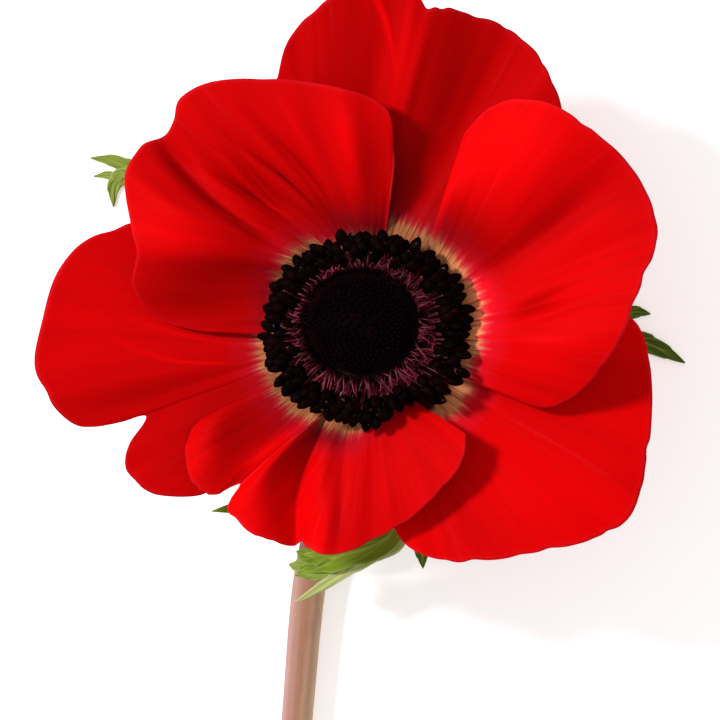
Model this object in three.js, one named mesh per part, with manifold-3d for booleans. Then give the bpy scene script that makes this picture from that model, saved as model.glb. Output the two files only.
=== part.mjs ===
// A poppy anemone (Anemone coronaria), cut and laid down on a flat surface with its bloom facing up.
//
// The stalk lies along -Y. Its neck turns up through about 85 degrees and widens into the receptacle.
// On the receptacle, from below: three outer tepals, four inner tepals, the ring of stamens, the carpels.
// Three finely cut bracts grow from the neck. Two of them reach down to the surface and steady the bloom.
//
// Units are millimetres, +Z is up, z = 0 is the surface, and the origin is under the middle of the flower.
// Pieces are first placed about the middle of the bloom, as seen from above. BLOOM_AT then moves them all.
import * as THREE from "three";
import { mergeVertices } from "three/addons/utils/BufferGeometryUtils.js";
import Module from "manifold-3d";

const wasm = await Module();
wasm.setup();

// ---- driving dimensions ----
const BLOOM_AT = [0.6, 44.9]; // where the middle of the bloom stands, from the origin
const BLOOM_HEIGHT = 21; // of the receptacle's flange above the surface
const FLANGE_AT = [0.6, -0.6]; // the flange's centre, from the middle of the bloom
const LEAN = 8; // degrees that the bloom leans
const LEAN_TOWARDS = 135; // azimuth that it leans towards
const GAP = 0.35; // between one piece and the next

const FLANGE_RADIUS = 5.9;
const CORE_RADIUS = 4.4; // the tepals stand round this core
const CORE_TOP = 1.95;
const TEPAL_THICK = 0.62;
const OUTER_SEAT = 0.62; // height of each whorl's claws above the flange
const INNER_SEAT = 1.62;

const FILAMENT_RADIUS = 0.34;
const ANTHER_LENGTH = 2.3;
const ANTHER_WIDTH = 1.35;
const ANTHER_TIP = 0.5; // width of an anther's tip, as a share of its width

const CARPEL_COUNT = 66;
const CARPEL_RADIUS = 0.95;

const NECK_RADIUS = 2.4;
const SHEATH_FOOT = -6.9; // the bracts' sheaths stand round the neck, below the flange
const SHEATH_HEIGHT = 2.4;
const SHEATH_SPAN = 72; // degrees round the neck
const SHEATH_SEATING = 0.1; // how far outside a sheath's middle surface the first lobe starts
const BRACT_THICK = 0.62;

const RED = 0xd2060b;
const GREEN = 0x6d8f25;
const STALK = 0xb98f76;
const BLACK = 0x120a14;
const WINE = 0x2c0b1c;

const rad = THREE.MathUtils.degToRad;

// ---- the bloom's own frame ----
const centre = new THREE.Vector3(...FLANGE_AT, BLOOM_HEIGHT);
const axis = new THREE.Vector3(
  Math.sin(rad(LEAN)) * Math.cos(rad(LEAN_TOWARDS)),
  Math.sin(rad(LEAN)) * Math.sin(rad(LEAN_TOWARDS)),
  Math.cos(rad(LEAN)),
);
const leaning = new THREE.Quaternion().setFromUnitVectors(new THREE.Vector3(0, 0, 1), axis);

// A direction in the bloom: outwards at an azimuth, and up the axis.
function bloomWay(azimuth, out, up) {
  const flat = new THREE.Vector3(out * Math.cos(rad(azimuth)), out * Math.sin(rad(azimuth)), up);
  return flat.applyQuaternion(leaning);
}

function onBloom(azimuth, radius, up) {
  return bloomWay(azimuth, radius, up).add(centre);
}

// How far the flange's plane rises over a step on the surface.
function planeRise(x, y) {
  return -(axis.x * x + axis.y * y) / axis.z;
}

function planeHeight(x, y) {
  return centre.z + planeRise(x - centre.x, y - centre.y);
}

// ---- curves and closed meshes ----
// A smooth curve through rows of numbers, at t from 0 to 1. Its ends run straight on.
function through(rows, t) {
  const span = Math.min(Math.floor(t * (rows.length - 1)), rows.length - 2);
  const f = t * (rows.length - 1) - span;
  const row = (i) => {
    if (i < 0) return rows[0].map((a, k) => 2 * a - rows[1][k]);
    if (i >= rows.length) return rows.at(-1).map((a, k) => 2 * a - rows.at(-2)[k]);
    return rows[i];
  };
  const [a, b, c, d] = [row(span - 1), row(span), row(span + 1), row(span + 2)];
  return b.map((_, k) => {
    const bend = 2 * a[k] - 5 * b[k] + 4 * c[k] - d[k];
    const twist = 3 * b[k] - a[k] - 3 * c[k] + d[k];
    return b[k] + 0.5 * f * (c[k] - a[k] + f * (bend + f * twist));
  });
}

function meshOf(points, faces) {
  const geometry = new THREE.BufferGeometry();
  const numbers = points.flatMap((point) => point.toArray());
  geometry.setAttribute("position", new THREE.Float32BufferAttribute(numbers, 3));
  geometry.setIndex(faces.flat());
  return geometry;
}

// Rings of as many points each, joined side by side and closed at both ends.
function loft(rings) {
  const n = rings[0].length;
  const points = rings.flat();
  const faces = [];
  for (let i = 0; i + 1 < rings.length; i++) {
    for (let j = 0; j < n; j++) {
      const [a, b] = [i * n + j, i * n + ((j + 1) % n)];
      faces.push([a, b, b + n], [a, b + n, a + n]);
    }
  }
  const last = (rings.length - 1) * n;
  for (let j = 1; j + 1 < n; j++) {
    faces.push([0, j + 1, j], [last, last + j, last + j + 1]);
  }
  return meshOf(points, faces);
}

// A round bar along stations of { at, along, radius }.
function bar(stations, sides, turn = 0) {
  let side = new THREE.Vector3(1, 0, 0);
  const rings = stations.map(({ at, along, radius }) => {
    side = side.clone().addScaledVector(along, -side.dot(along)).normalize();
    const other = along.clone().cross(side);
    return Array.from({ length: sides }, (_, j) => {
      const angle = ((j + turn) / sides) * 2 * Math.PI;
      return at
        .clone()
        .addScaledVector(side, radius * Math.cos(angle))
        .addScaledVector(other, radius * Math.sin(angle));
    });
  });
  return loft(rings);
}

// A sheet of even thickness about a surface of (u, v), split into the same triangles on both faces.
function sheet(surface, along, across, thick) {
  const step = 1e-3;
  const points = [];
  for (const face of [1, -1]) {
    for (let i = 0; i <= along; i++) {
      for (let j = 0; j <= across; j++) {
        const [u, v] = [i / along, j / across];
        const du = surface(Math.min(u + step, 1), v).sub(surface(Math.max(u - step, 0), v));
        const dv = surface(u, Math.min(v + step, 1)).sub(surface(u, Math.max(v - step, 0)));
        const normal = du.cross(dv).normalize();
        points.push(surface(u, v).addScaledVector(normal, (face * thick) / 2));
      }
    }
  }
  const row = across + 1;
  const back = (along + 1) * row;
  const faces = [];
  for (let i = 0; i < along; i++) {
    for (let j = 0; j < across; j++) {
      const [a, b, c, d] = [i * row + j, (i + 1) * row + j, (i + 1) * row + j + 1, i * row + j + 1];
      faces.push([a, b, c], [a, c, d], [a + back, c + back, b + back], [a + back, d + back, c + back]);
    }
  }
  const wall = (a, b) => faces.push([a, a + back, b + back], [a, b + back, b]);
  for (let i = 0; i < along; i++) {
    wall(i * row, (i + 1) * row);
    wall((i + 1) * row + across, i * row + across);
  }
  for (let j = 0; j < across; j++) {
    wall(j + 1, j);
    wall(along * row + j, along * row + j + 1);
  }
  return meshOf(points, faces);
}

// A flat strip along a path, as wide at each station as widths say, with its flat side facing `up`.
function strip(path, widths, up, thick) {
  const rings = path.map((at, i) => {
    const ahead = path[Math.min(i + 1, path.length - 1)];
    const along = ahead.clone().sub(path[Math.max(i - 1, 0)]).normalize();
    const side = along.clone().cross(up).normalize().multiplyScalar(widths[i] / 2);
    const rise = side.clone().cross(along).normalize().multiplyScalar(thick / 2);
    return [
      at.clone().sub(side).sub(rise),
      at.clone().sub(side).add(rise),
      at.clone().add(side).add(rise),
      at.clone().add(side).sub(rise),
    ];
  });
  return loft(rings);
}

// ---- joining ----
function solidOf(geometry) {
  const bare = geometry.clone();
  bare.deleteAttribute("normal");
  bare.deleteAttribute("uv");
  const merged = mergeVertices(bare, 1e-4);
  return new wasm.Manifold(
    new wasm.Mesh({
      numProp: 3,
      vertProperties: merged.attributes.position.array,
      triVerts: new Uint32Array(merged.index.array),
    }),
  );
}

function fused(geometries) {
  const whole = geometries.map(solidOf).reduce((a, b) => a.add(b));
  const bodies = whole.decompose().sort((a, b) => b.volume() - a.volume());
  const mesh = bodies[0].getMesh();
  const geometry = new THREE.BufferGeometry();
  geometry.setAttribute("position", new THREE.BufferAttribute(mesh.vertProperties, 3));
  geometry.setIndex(new THREE.BufferAttribute(mesh.triVerts, 1));
  return geometry;
}

function seeded(seed) {
  let state = seed;
  return () => {
    state = (state * 1103515245 + 12345) % 2147483648;
    return state / 2147483648;
  };
}

const flower = new THREE.Group();
flower.position.set(...BLOOM_AT, 0);

function add(name, geometry, color, roughness) {
  const material = new THREE.MeshStandardMaterial({ color, roughness, metalness: 0 });
  const mesh = new THREE.Mesh(geometry, material);
  mesh.name = name;
  flower.add(mesh);
}

// ---- stem: the stalk along the surface, the neck, and the receptacle ----
// Rows are x, y and radius. The stalk's underside is on the surface.
const STALK_ROWS = [
  [-13.2, -134, 2.2],
  [-12.9, -112, 2.15],
  [-11.9, -90, 2.1],
  [-10.5, -68, 2.05],
  [-9.0, -51, 2.05],
  [-7.6, -35, 2.2],
];
// Rows of the neck are x, y, z and radius, up to the receptacle.
const NECK_ROWS = [
  [-6.0, -26.5, 2.3, 2.25],
  [-4.5, -19.6, 2.7, 2.25],
  [-2.2, -12.6, 4.2, 2.3],
  [0.1, -6.4, 7.2, 2.35],
  [1.4, -2.4, 11.0, 2.4],
];
// The receptacle widens along the bloom's axis: height from the flange, and radius.
const RECEPTACLE_ROWS = [
  [-7.4, NECK_RADIUS],
  [-4, NECK_RADIUS],
  [-2, 3.4],
  [-0.7, 5.3],
  [0, FLANGE_RADIUS],
  [0, CORE_RADIUS],
  [CORE_TOP, CORE_RADIUS],
];
const STEM_SIDES = 12;
const CUT_SLANT = 0.7; // of the cut end, along the stalk for each step up

function stem() {
  const facet = Math.cos(Math.PI / STEM_SIDES);
  const lying = STALK_ROWS.map(([x, y, radius]) => [x, y, radius * facet, radius]);
  const onAxis = ([up, radius]) => [...onBloom(0, 0, up).toArray(), radius];
  const upright = RECEPTACLE_ROWS.slice(0, 2).map(onAxis);
  const rows = [...lying, ...NECK_ROWS, ...upright];
  const steps = 2 * (rows.length - 1);
  const stations = [];
  const near = 0.01;
  for (let i = 0; i <= steps; i++) {
    const [x, y, z, radius] = through(rows, i / steps);
    const before = new THREE.Vector3(...through(rows, Math.max(i / steps - near, 0)));
    const after = new THREE.Vector3(...through(rows, Math.min(i / steps + near, 1)));
    stations.push({ at: new THREE.Vector3(x, y, z), along: after.sub(before).normalize(), radius });
  }
  for (const [up, radius] of RECEPTACLE_ROWS.slice(2)) {
    stations.push({ at: onBloom(0, 0, up), along: axis.clone(), radius });
  }
  const geometry = bar(stations, STEM_SIDES, 0.5);
  const position = geometry.attributes.position;
  for (let j = 0; j < STEM_SIDES; j++) {
    position.setY(j, position.getY(j) + CUT_SLANT * position.getZ(j));
  }
  return geometry;
}

add("stem", stem(), STALK, 0.6);

// ---- tepals ----
// claw: azimuths along the claw on the core, from the first rim row's side to the last one's.
// rise: degrees that the claw leaves the core at, above the flange's plane.
// rim: rows of x, y, lift above the flange's plane, and the slope that the sheet reaches the rim at, in
// degrees from that plane.
// folds: rows of place and width across (0 to 1), place and width along (0 to 1), and height.
const TEPALS = {
  tepal_top: {
    seat: OUTER_SEAT,
    claw: [128, 40],
    rise: 8,
    rim: [
      [-11.6, 31.6, 5.0, 12],
      [-9.8, 36.9, 6.6, 14],
      [-6.0, 41.0, 8.0, 16],
      [-1.2, 43.6, 8.8, 20],
      [3.6, 44.0, 9.4, 30],
      [7.4, 41.4, 8.4, 20],
      [12.2, 40.4, 7.6, 16],
      [17.4, 38.5, 6.8, 14],
      [21.8, 34.8, 6.0, 10],
      [24.7, 28.8, 5.0, 8],
      [24.6, 23.0, 4.2, 6],
      [20.0, 15.6, 3.0, 4],
    ],
    folds: [
      [0.456, 0.083, 0.8, 0.5, 0.9],
      [0.598, 0.083, 0.7, 0.4, -0.8],
    ],
  },
  tepal_left: {
    seat: OUTER_SEAT,
    claw: [168, 222],
    rise: 6,
    rim: [
      [-18.0, 11.5, 1.6, 0],
      [-26.0, 14.0, 2.0, 0],
      [-32.0, 12.8, 2.6, 2],
      [-36.5, 10.6, 3.6, 6],
      [-40.2, 6.4, 4.6, 8],
      [-42.0, 0.8, 5.0, 8],
      [-42.9, -4.8, 5.0, 6],
      [-40.8, -9.2, 4.4, 4],
      [-37.0, -12.6, 3.6, 2],
      [-32.6, -12.4, 3.0, 2],
      [-28.2, -11.4, 2.2, 2],
      [-30.4, -15.0, 1.8, 0],
      [-30.6, -18.6, 1.2, -2],
      [-27.4, -21.2, 0.8, -4],
      [-21.0, -21.4, 0.4, -4],
      [-15.6, -17.6, 0.4, 0],
    ],
    folds: [
      [0.36, 0.1, 0.7, 0.5, 0.6],
      [0.52, 0.08, 0.7, 0.5, -0.6],
    ],
  },
  tepal_lower_right: {
    seat: OUTER_SEAT,
    claw: [-84, 4],
    rise: 5,
    rim: [
      [2.0, -16.0, 1.4, 0],
      [3.0, -23.6, 1.2, 0],
      [5.4, -28.0, 1.4, -2],
      [10.6, -29.9, 2.0, -2],
      [16.4, -29.7, 2.4, 0],
      [23.2, -28.5, 2.4, 0],
      [28.8, -27.0, 2.2, -4],
      [33.6, -24.0, 1.8, -8],
      [35.6, -17.4, 1.6, -8],
      [36.4, -10.8, 1.4, -6],
      [36.2, -4.9, 1.4, -4],
      [34.0, 1.0, 1.4, 0],
      [27.6, 3.0, 1.4, 2],
      [20.0, 2.4, 1.4, 2],
    ],
    folds: [
      [0.36, 0.1, 0.8, 0.5, 0.9],
      [0.55, 0.08, 0.7, 0.5, -0.6],
    ],
  },
  tepal_upper_left: {
    seat: INNER_SEAT,
    claw: [82, 92, 105, 120, 142, 186],
    rise: 10,
    rim: [
      [2.8, 16.6, 7.2, 20],
      [3.3, 22.0, 9.0, 20],
      [2.4, 28.0, 10.0, 14],
      [-3.4, 30.4, 9.4, 10],
      [-11.6, 31.6, 8.6, 6],
      [-19.0, 31.4, 8.0, 4],
      [-23.6, 29.4, 7.6, 2],
      [-25.2, 25.2, 7.2, 0],
      [-29.0, 23.0, 7.8, -4],
      [-30.6, 18.6, 9.0, -8],
      [-30.0, 13.6, 10.0, -10],
      [-29.2, 9.8, 10.0, -8],
      [-29.9, 5.4, 7.4, -10],
      [-27.4, 1.8, 5.2, -10],
      [-22.8, -0.2, 4.2, -4],
      [-16.0, -0.8, 3.4, 0],
    ],
    folds: [
      [0.22, 0.05, 0.7, 0.4, 0.7],
      [0.36, 0.04, 0.7, 0.4, 0.5],
      [0.5, 0.035, 0.8, 0.4, -1.1],
      [0.64, 0.08, 0.65, 0.35, 1.8],
    ],
  },
  tepal_right: {
    seat: INNER_SEAT,
    claw: [48, -30],
    rise: 10,
    rim: [
      [13.2, 26.2, 9.0, 16],
      [17.8, 28.6, 11.4, 14],
      [23.0, 28.2, 12.2, 14],
      [28.4, 25.0, 12.0, 12],
      [33.2, 20.5, 12.0, 14],
      [36.4, 14.5, 12.6, 16],
      [36.4, 9.5, 13.0, 18],
      [34.4, 4.4, 12.8, 18],
      [32.5, -0.6, 11.6, 14],
      [30.0, -5.0, 9.2, 6],
      [26.4, -8.8, 6.2, -4],
      [22.5, -10.2, 4.2, -10],
      [17.6, -8.6, 3.8, -4],
    ],
    folds: [
      [0.183, 0.105, 0.7, 0.35, 1.2],
      [0.347, 0.093, 0.65, 0.3, -1.1],
      [0.673, 0.07, 0.5, 0.2, 0.6],
    ],
  },
  tepal_lower: {
    seat: INNER_SEAT,
    claw: [250, 258, 268, 281, 294],
    rise: 14,
    rim: [
      [-16.0, -20.0, 4.0, -10],
      [-17.6, -23.4, 3.0, -20],
      [-14.8, -26.0, 3.2, -10],
      [-11.0, -27.6, 3.2, -8],
      [-8.0, -28.0, 3.2, -8],
      [-5.2, -29.0, 4.2, -8],
      [-1.8, -28.4, 4.6, -8],
      [2.4, -26.4, 4.8, -8],
      [6.0, -24.0, 5.4, -4],
      [9.6, -20.6, 6.4, 4],
      [12.2, -17.0, 7.4, 20],
      [12.6, -13.6, 7.4, 40],
    ],
    folds: [
      [0.1, 0.08, 0.75, 0.45, 1.5],
      [0.245, 0.07, 0.8, 0.5, -1.9],
      [0.37, 0.08, 0.8, 0.5, 0.9],
    ],
  },
  tepal_lower_left: {
    seat: INNER_SEAT,
    claw: [198, 246],
    rise: 4,
    rim: [
      [-16.4, -9.0, 2.4, -10],
      [-20.6, -11.4, 3.6, -30],
      [-22.9, -15.0, 3.8, -36],
      [-22.2, -19.6, 3.4, -36],
      [-19.4, -21.4, 2.6, -22],
      [-16.2, -20.2, 2.0, -10],
      [-9.5, -19.5, 1.4, 0],
    ],
    folds: [[0.6, 0.2, 0.7, 0.3, -0.3]],
  },
};
const TEPAL_ALONG = 7;
const TEPAL_ACROSS = 20;
const CLAW_PULL = 0.38; // how far each ray follows its end directions, as a share of its reach
const RIM_PULL = 0.36;
const FOLDS_FROM = 0.35; // along each ray, where the folds have grown to their height

function smooth(t) {
  const s = THREE.MathUtils.clamp(t, 0, 1);
  return s * s * (3 - 2 * s);
}

// The plain sheet: rays from the claw to the rim, each a cubic curve.
function plainTepal({ seat, claw, rise, rim }, u, v) {
  const [azimuth] = through(claw.map((a) => [a]), v);
  const start = onBloom(azimuth, CORE_RADIUS + GAP, seat);
  const leave = bloomWay(azimuth, Math.cos(rad(rise)), Math.sin(rad(rise)));
  const [x, y, lift, slope] = through(rim, v);
  const end = new THREE.Vector3(x, y, planeHeight(x, y) + lift);
  const flat = new THREE.Vector2(x - start.x, y - start.y).normalize();
  const climb = planeRise(flat.x, flat.y) + Math.tan(rad(slope));
  const arrive = new THREE.Vector3(flat.x, flat.y, climb).normalize();
  const reach = start.distanceTo(end);
  const ray = new THREE.CubicBezierCurve3(
    start,
    start.clone().addScaledVector(leave, CLAW_PULL * reach),
    end.clone().addScaledVector(arrive, -RIM_PULL * reach),
    end,
  );
  return ray.getPoint(u);
}

function tepalPoint(tepal, u, v) {
  const point = plainTepal(tepal, u, v);
  let height = 0;
  for (const [across, breadth, along, length, tall] of tepal.folds) {
    height += tall * Math.exp(-(((v - across) / breadth) ** 2) - ((u - along) / length) ** 2);
  }
  return point.addScaledVector(axis, height * smooth(u / FOLDS_FROM));
}

for (const [name, tepal] of Object.entries(TEPALS)) {
  // Some claws run clockwise and some the other way, and the upper face has to look up on all of them.
  const backwards = tepal.claw[1] < tepal.claw[0];
  const surface = (u, v) => tepalPoint(tepal, u, backwards ? 1 - v : v);
  add(name, sheet(surface, TEPAL_ALONG, TEPAL_ACROSS, TEPAL_THICK), RED, 0.55);
}

// ---- stamens: a shallow dish on the core, with rows of anthers on short filaments round its edge ----
// Rows of the dish are radius and height above the flange.
const DISH_ROWS = [
  [0, 2.25],
  [4.3, 2.25],
  [7.2, 3.3],
  [8.3, 4.1],
  [7.9, 4.5],
  [6.9, 3.5],
  [4.6, 3.2],
  [0, 3.2],
];
const DISH_SIDES = 20;
// Rows of stamens are count, the radius and height of their anthers, and the anthers' slope in degrees.
// Each anther is out of its row by up to half of these amounts.
const STAMEN_ROWS = [
  [26, 12.6, 6.25, 2],
  [26, 11.1, 6.5, 14],
  [26, 9.7, 7.1, 30],
];
const SCATTER = { steps: 0.3, radius: 0.5, height: 0.4 };
const ROOT_AT = [7.6, 4.1]; // radius and height that the filaments grow from
const STAMEN_SIDES = 4;
// Where the side of the lower tepal stands up, between two azimuths, the anthers keep inside a radius.
const CROWDED = { from: 280, to: 322, radius: 10.7 };

function lathe(rows, sides) {
  const geometry = new THREE.LatheGeometry(rows.map(([r, up]) => new THREE.Vector2(r, up)), sides);
  return geometry.rotateX(Math.PI / 2).applyQuaternion(leaning).translate(...centre.toArray());
}

// A stamen is one bar, thin along the filament and full at the anther.
function stamen(azimuth, at, along, turn) {
  const root = onBloom(azimuth, ...ROOT_AT);
  const base = at.clone().addScaledVector(along, -ANTHER_LENGTH / 2);
  const stations = [
    [root, base.clone().sub(root).normalize(), FILAMENT_RADIUS],
    [base, along, FILAMENT_RADIUS],
    [at, along, ANTHER_WIDTH / 2],
    [at.clone().addScaledVector(along, ANTHER_LENGTH / 2), along, (ANTHER_TIP * ANTHER_WIDTH) / 2],
  ].map(([place, way, radius]) => ({ at: place, along: way, radius }));
  return bar(stations, STAMEN_SIDES, turn);
}

function stamens() {
  const random = seeded(7);
  const pieces = [lathe(DISH_ROWS, DISH_SIDES)];
  STAMEN_ROWS.forEach(([count, radius, up, slope], row) => {
    for (let i = 0; i < count; i++) {
      const azimuth = ((i + row / 2 + SCATTER.steps * random()) / count) * 360;
      const crowded = azimuth > CROWDED.from && azimuth < CROWDED.to;
      const out = radius + SCATTER.radius * (random() - 0.5);
      const inside = crowded ? Math.min(out, CROWDED.radius) : out;
      const at = onBloom(azimuth, inside, up + SCATTER.height * (random() - 0.5));
      const along = bloomWay(azimuth, Math.cos(rad(slope)), Math.sin(rad(slope)));
      pieces.push(stamen(azimuth, at, along, random()));
    }
  });
  return fused(pieces);
}

add("stamens", stamens(), BLACK, 0.75);

// ---- carpel_head: a low dome, covered with small pointed carpels in two sets of spirals ----
// Rows of the dome are radius and height above the flange.
const DOME_ROWS = [
  [0, 3.7],
  [4.6, 3.7],
  [6.0, 4.7],
  [6.5, 5.9],
  [6.1, 7.2],
  [4.9, 8.4],
  [2.7, 9.2],
  [0, 9.5],
];
const DOME_SIDES = 20;
const CARPELS_FROM = 4.6; // height that the carpels' directions spread from
const CARPELS_UPRIGHT = 1.4; // how much more they point up than straight away from there
const GOLDEN_ANGLE = 137.50776;

function carpelHead() {
  const pieces = [lathe(DOME_ROWS, DOME_SIDES)];
  const side = DOME_ROWS.slice(2);
  for (let i = 0; i < CARPEL_COUNT; i++) {
    const t = Math.sqrt((i + 0.5) / CARPEL_COUNT);
    const [radius, up] = through(side, 1 - t);
    const azimuth = i * GOLDEN_ANGLE;
    const carpel = new THREE.OctahedronGeometry(CARPEL_RADIUS, 0);
    const out = bloomWay(azimuth, radius, CARPELS_UPRIGHT * (up - CARPELS_FROM)).normalize();
    carpel.applyQuaternion(new THREE.Quaternion().setFromUnitVectors(new THREE.Vector3(0, 0, 1), out));
    pieces.push(carpel.translate(...onBloom(azimuth, radius, up).toArray()));
  }
  return fused(pieces);
}

add("carpel_head", carpelHead(), WINE, 0.8);

// ---- bracts: each a leaf cut into narrow lobes, on a sheath that clasps the neck ----
// A lobe is its width and the points that its midrib runs through. The first one starts at the sheath. The
// furthest lobes of the left and the right bract end flat on the surface. A lobe listed in `toothed` has a
// tooth on each side.
const FLAT = BRACT_THICK / 2;
const BRACTS = {
  bract_left: {
    foot: 149,
    toothed: [4, 7, 10],
    lobes: [
      [5.6, [-8, 4.4, 12.6], [-17, 9.8, 6.8], [-26, 15.4, 1.9], [-30, 18.2, FLAT]],
      [2.4, [-22, 13.0, 4.0], [-28.6, 19.2, FLAT], [-32.4, 21.6, FLAT], [-36.0, 22.2, FLAT]],
      [1.5, [-26, 15.4, 1.9], [-30.6, 18.8, FLAT], [-33.4, 19.9, FLAT], [-35.6, 19.8, FLAT]],
      [2.6, [-23, 13.6, 3.4], [-30.4, 19.4, FLAT], [-32.8, 18.8, FLAT], [-33.0, 15.8, FLAT]],
      [4.0, [-9, 5.0, 12.0], [-14, 12.0, 9.0], [-19.6, 17.2, 5.8], [-22.6, 21.8, 3.8]],
      [2.8, [-14, 12.0, 9.0], [-15.4, 17, 7.8], [-14.8, 21.6, 6.6]],
      [2.4, [-17.6, 15.6, 6.8], [-23, 17.6, 4.8], [-27.4, 17.6, 3.8]],
      [4.0, [-9, 5.0, 12.0], [-17.6, 6.8, 8.0], [-24.6, 3.8, 5.2], [-28.4, 3.2, 3.8]],
      [2.8, [-15, 6.4, 9.2], [-19.6, 2.8, 7.0], [-20.2, -1.6, 5.8]],
      [2.4, [-21.6, 5.2, 6.2], [-26.4, 8.0, 4.4], [-29.4, 8.6, 3.4]],
      [2.8, [-17, 10.0, 6.8], [-23.6, 10.2, 4.6], [-28.6, 11.8, 2.2]],
    ],
  },
  bract_right: {
    foot: 4,
    toothed: [4, 7, 8],
    lobes: [
      [5.6, [13, -1.4, 12.2], [22, -1.8, 6.8], [31, -1.6, 1.4], [35, -1.8, FLAT]],
      [3.0, [28, -1.5, 2.8], [34, -1.4, FLAT], [38.0, -2.6, FLAT], [41.7, -4.6, FLAT]],
      [2.4, [25, -1.8, 4.8], [31, 0.6, 0.9], [34.8, 2.0, FLAT], [37.2, 1.8, FLAT]],
      [2.6, [25, -1.8, 4.8], [30.6, -4.8, 1.3], [33.6, -9.0, FLAT], [34.2, -13.0, FLAT]],
      [4.0, [12, -1.4, 12.6], [18.6, 3.2, 9.8], [25.0, 6.8, 6.8], [29.4, 11.2, 5.2]],
      [2.8, [18.6, 3.2, 9.8], [21.0, 8.2, 8.4], [20.6, 13.0, 7.6]],
      [2.4, [23, 5.6, 7.8], [28.0, 5.4, 5.8], [31.4, 6.6, 4.8]],
      [4.0, [12, -1.5, 12.6], [19.0, -5.8, 9.4], [24.6, -10.4, 6.6], [26.6, -15.8, 5.2]],
      [2.8, [19.0, -5.8, 9.4], [19.6, -10.8, 7.8], [16.8, -15.0, 7.2]],
      [2.4, [23, -9.0, 7.4], [27.6, -9.2, 5.4], [31, -10.4, 4.2]],
    ],
  },
  bract_lower: {
    foot: -82,
    toothed: [5, 8],
    lobes: [
      [5.6, [3.4, -12, 14.0], [4.4, -19, 12.6], [4.6, -26, 11.4]],
      [4, [4.0, -17, 13], [3.4, -26.4, 11.8], [-3.4, -29.6, 10.6], [-8.2, -30.8, 9.6], [-10.6, -31.3, 9.2]],
      [2.2, [4.8, -22, 12], [4.4, -28.4, 11], [-1.6, -31.4, 10.2], [-6.2, -34, 9.8], [-9.4, -36, 9.6]],
      [2.8, [4.2, -18, 12.8], [6.6, -25.4, 11.2], [7.2, -28.6, 9.8], [7.4, -31.2, 8.6]],
      [2.4, [4.3, -19, 12.6], [9.2, -24.0, 11.2], [11.8, -27.0, 9.8]],
      [4, [3, -9, 14.6], [-0.8, -18.2, 13.6], [-6.4, -21.6, 12.6], [-12.4, -22.8, 12], [-20.4, -24.4, 10]],
      [2.6, [-2, -19.4, 13.3], [-6.0, -25.0, 12.0], [-11.0, -27.4, 11.2]],
      [2.2, [-9.6, -22.3, 12.0], [-14.6, -20.4, 11.6], [-17.4, -17.2, 11.4]],
      [4.0, [3.2, -10, 14.4], [8.0, -18.0, 13.8], [12.6, -20.8, 13.0], [15.4, -24.6, 12.2]],
      [2.6, [9.0, -18.6, 13.6], [14.0, -18.2, 13.2], [17.8, -19.0, 12.6]],
    ],
  },
};
const LOBE_STEPS = 5;
const LOBE_TIP = 0.5; // width of a lobe's tip
const LOBE_ROOT = 0.62; // width of its root, as a share of its full width
// A tooth starts at a share of the lobe's length. Its reach is a share of the lobe's, its tip is a share of
// its own reach, and its spread is in degrees.
const TOOTH = { at: 0.42, reach: 0.3, tip: 0.7, spread: 36, width: 1.9, steps: 3 };

function leafStrip(width, points, steps) {
  const path = [];
  const widths = [];
  for (let i = 0; i <= steps; i++) {
    const t = i / steps;
    const at = new THREE.Vector3(...through(points, t));
    at.z = Math.max(at.z, FLAT);
    path.push(at);
    const full = Math.sin(Math.PI * t ** 0.8) ** 0.8;
    widths.push(Math.max(width * Math.max(full, LOBE_ROOT * (1 - t)), LOBE_TIP));
  }
  return strip(path, widths, new THREE.Vector3(0, 0, 1), BRACT_THICK);
}

// The points of a tooth on a lobe, to its left (1) or right (-1).
function tooth(points, side) {
  const root = new THREE.Vector3(...through(points, TOOTH.at));
  const reach = new THREE.Vector3(...points.at(-1)).sub(root);
  const out = reach.clone().applyAxisAngle(new THREE.Vector3(0, 0, 1), side * rad(TOOTH.spread));
  const middle = root.clone().addScaledVector(out, TOOTH.reach);
  const tip = middle.clone().addScaledVector(reach, TOOTH.tip * TOOTH.reach);
  return [root, middle, tip].map((point) => point.toArray());
}

const SHEATH_RADIUS = NECK_RADIUS + GAP + BRACT_THICK / 2;
const SHEATH_STEPS = [6, 2]; // round the neck and up it

function sheath(foot) {
  const surface = (u, v) =>
    onBloom(foot + (0.5 - u) * SHEATH_SPAN, SHEATH_RADIUS, SHEATH_FOOT + SHEATH_HEIGHT * v);
  return sheet(surface, ...SHEATH_STEPS, BRACT_THICK);
}

function bract({ foot, toothed, lobes }) {
  const seat = onBloom(foot, SHEATH_RADIUS + SHEATH_SEATING, SHEATH_FOOT + SHEATH_HEIGHT / 2).toArray();
  const pieces = [sheath(foot)];
  lobes.forEach(([width, ...rest], i) => {
    const points = i === 0 ? [seat, ...rest] : rest;
    pieces.push(leafStrip(width, points, LOBE_STEPS));
    for (const side of toothed.includes(i) ? [1, -1] : []) {
      pieces.push(leafStrip(TOOTH.width, tooth(points, side), TOOTH.steps));
    }
  });
  return fused(pieces);
}

for (const [name, leaf] of Object.entries(BRACTS)) {
  add(name, bract(leaf), GREEN, 0.6);
}

export default flower;
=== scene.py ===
"""A cut poppy anemone, laid down with its bloom facing up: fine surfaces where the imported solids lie.

Lengths are millimetres about the middle of the bloom, and placed() turns them into metres in the frame.
The pieces are closed meshes, built with the same curves as the solids that they replace.
"""
import math

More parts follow.
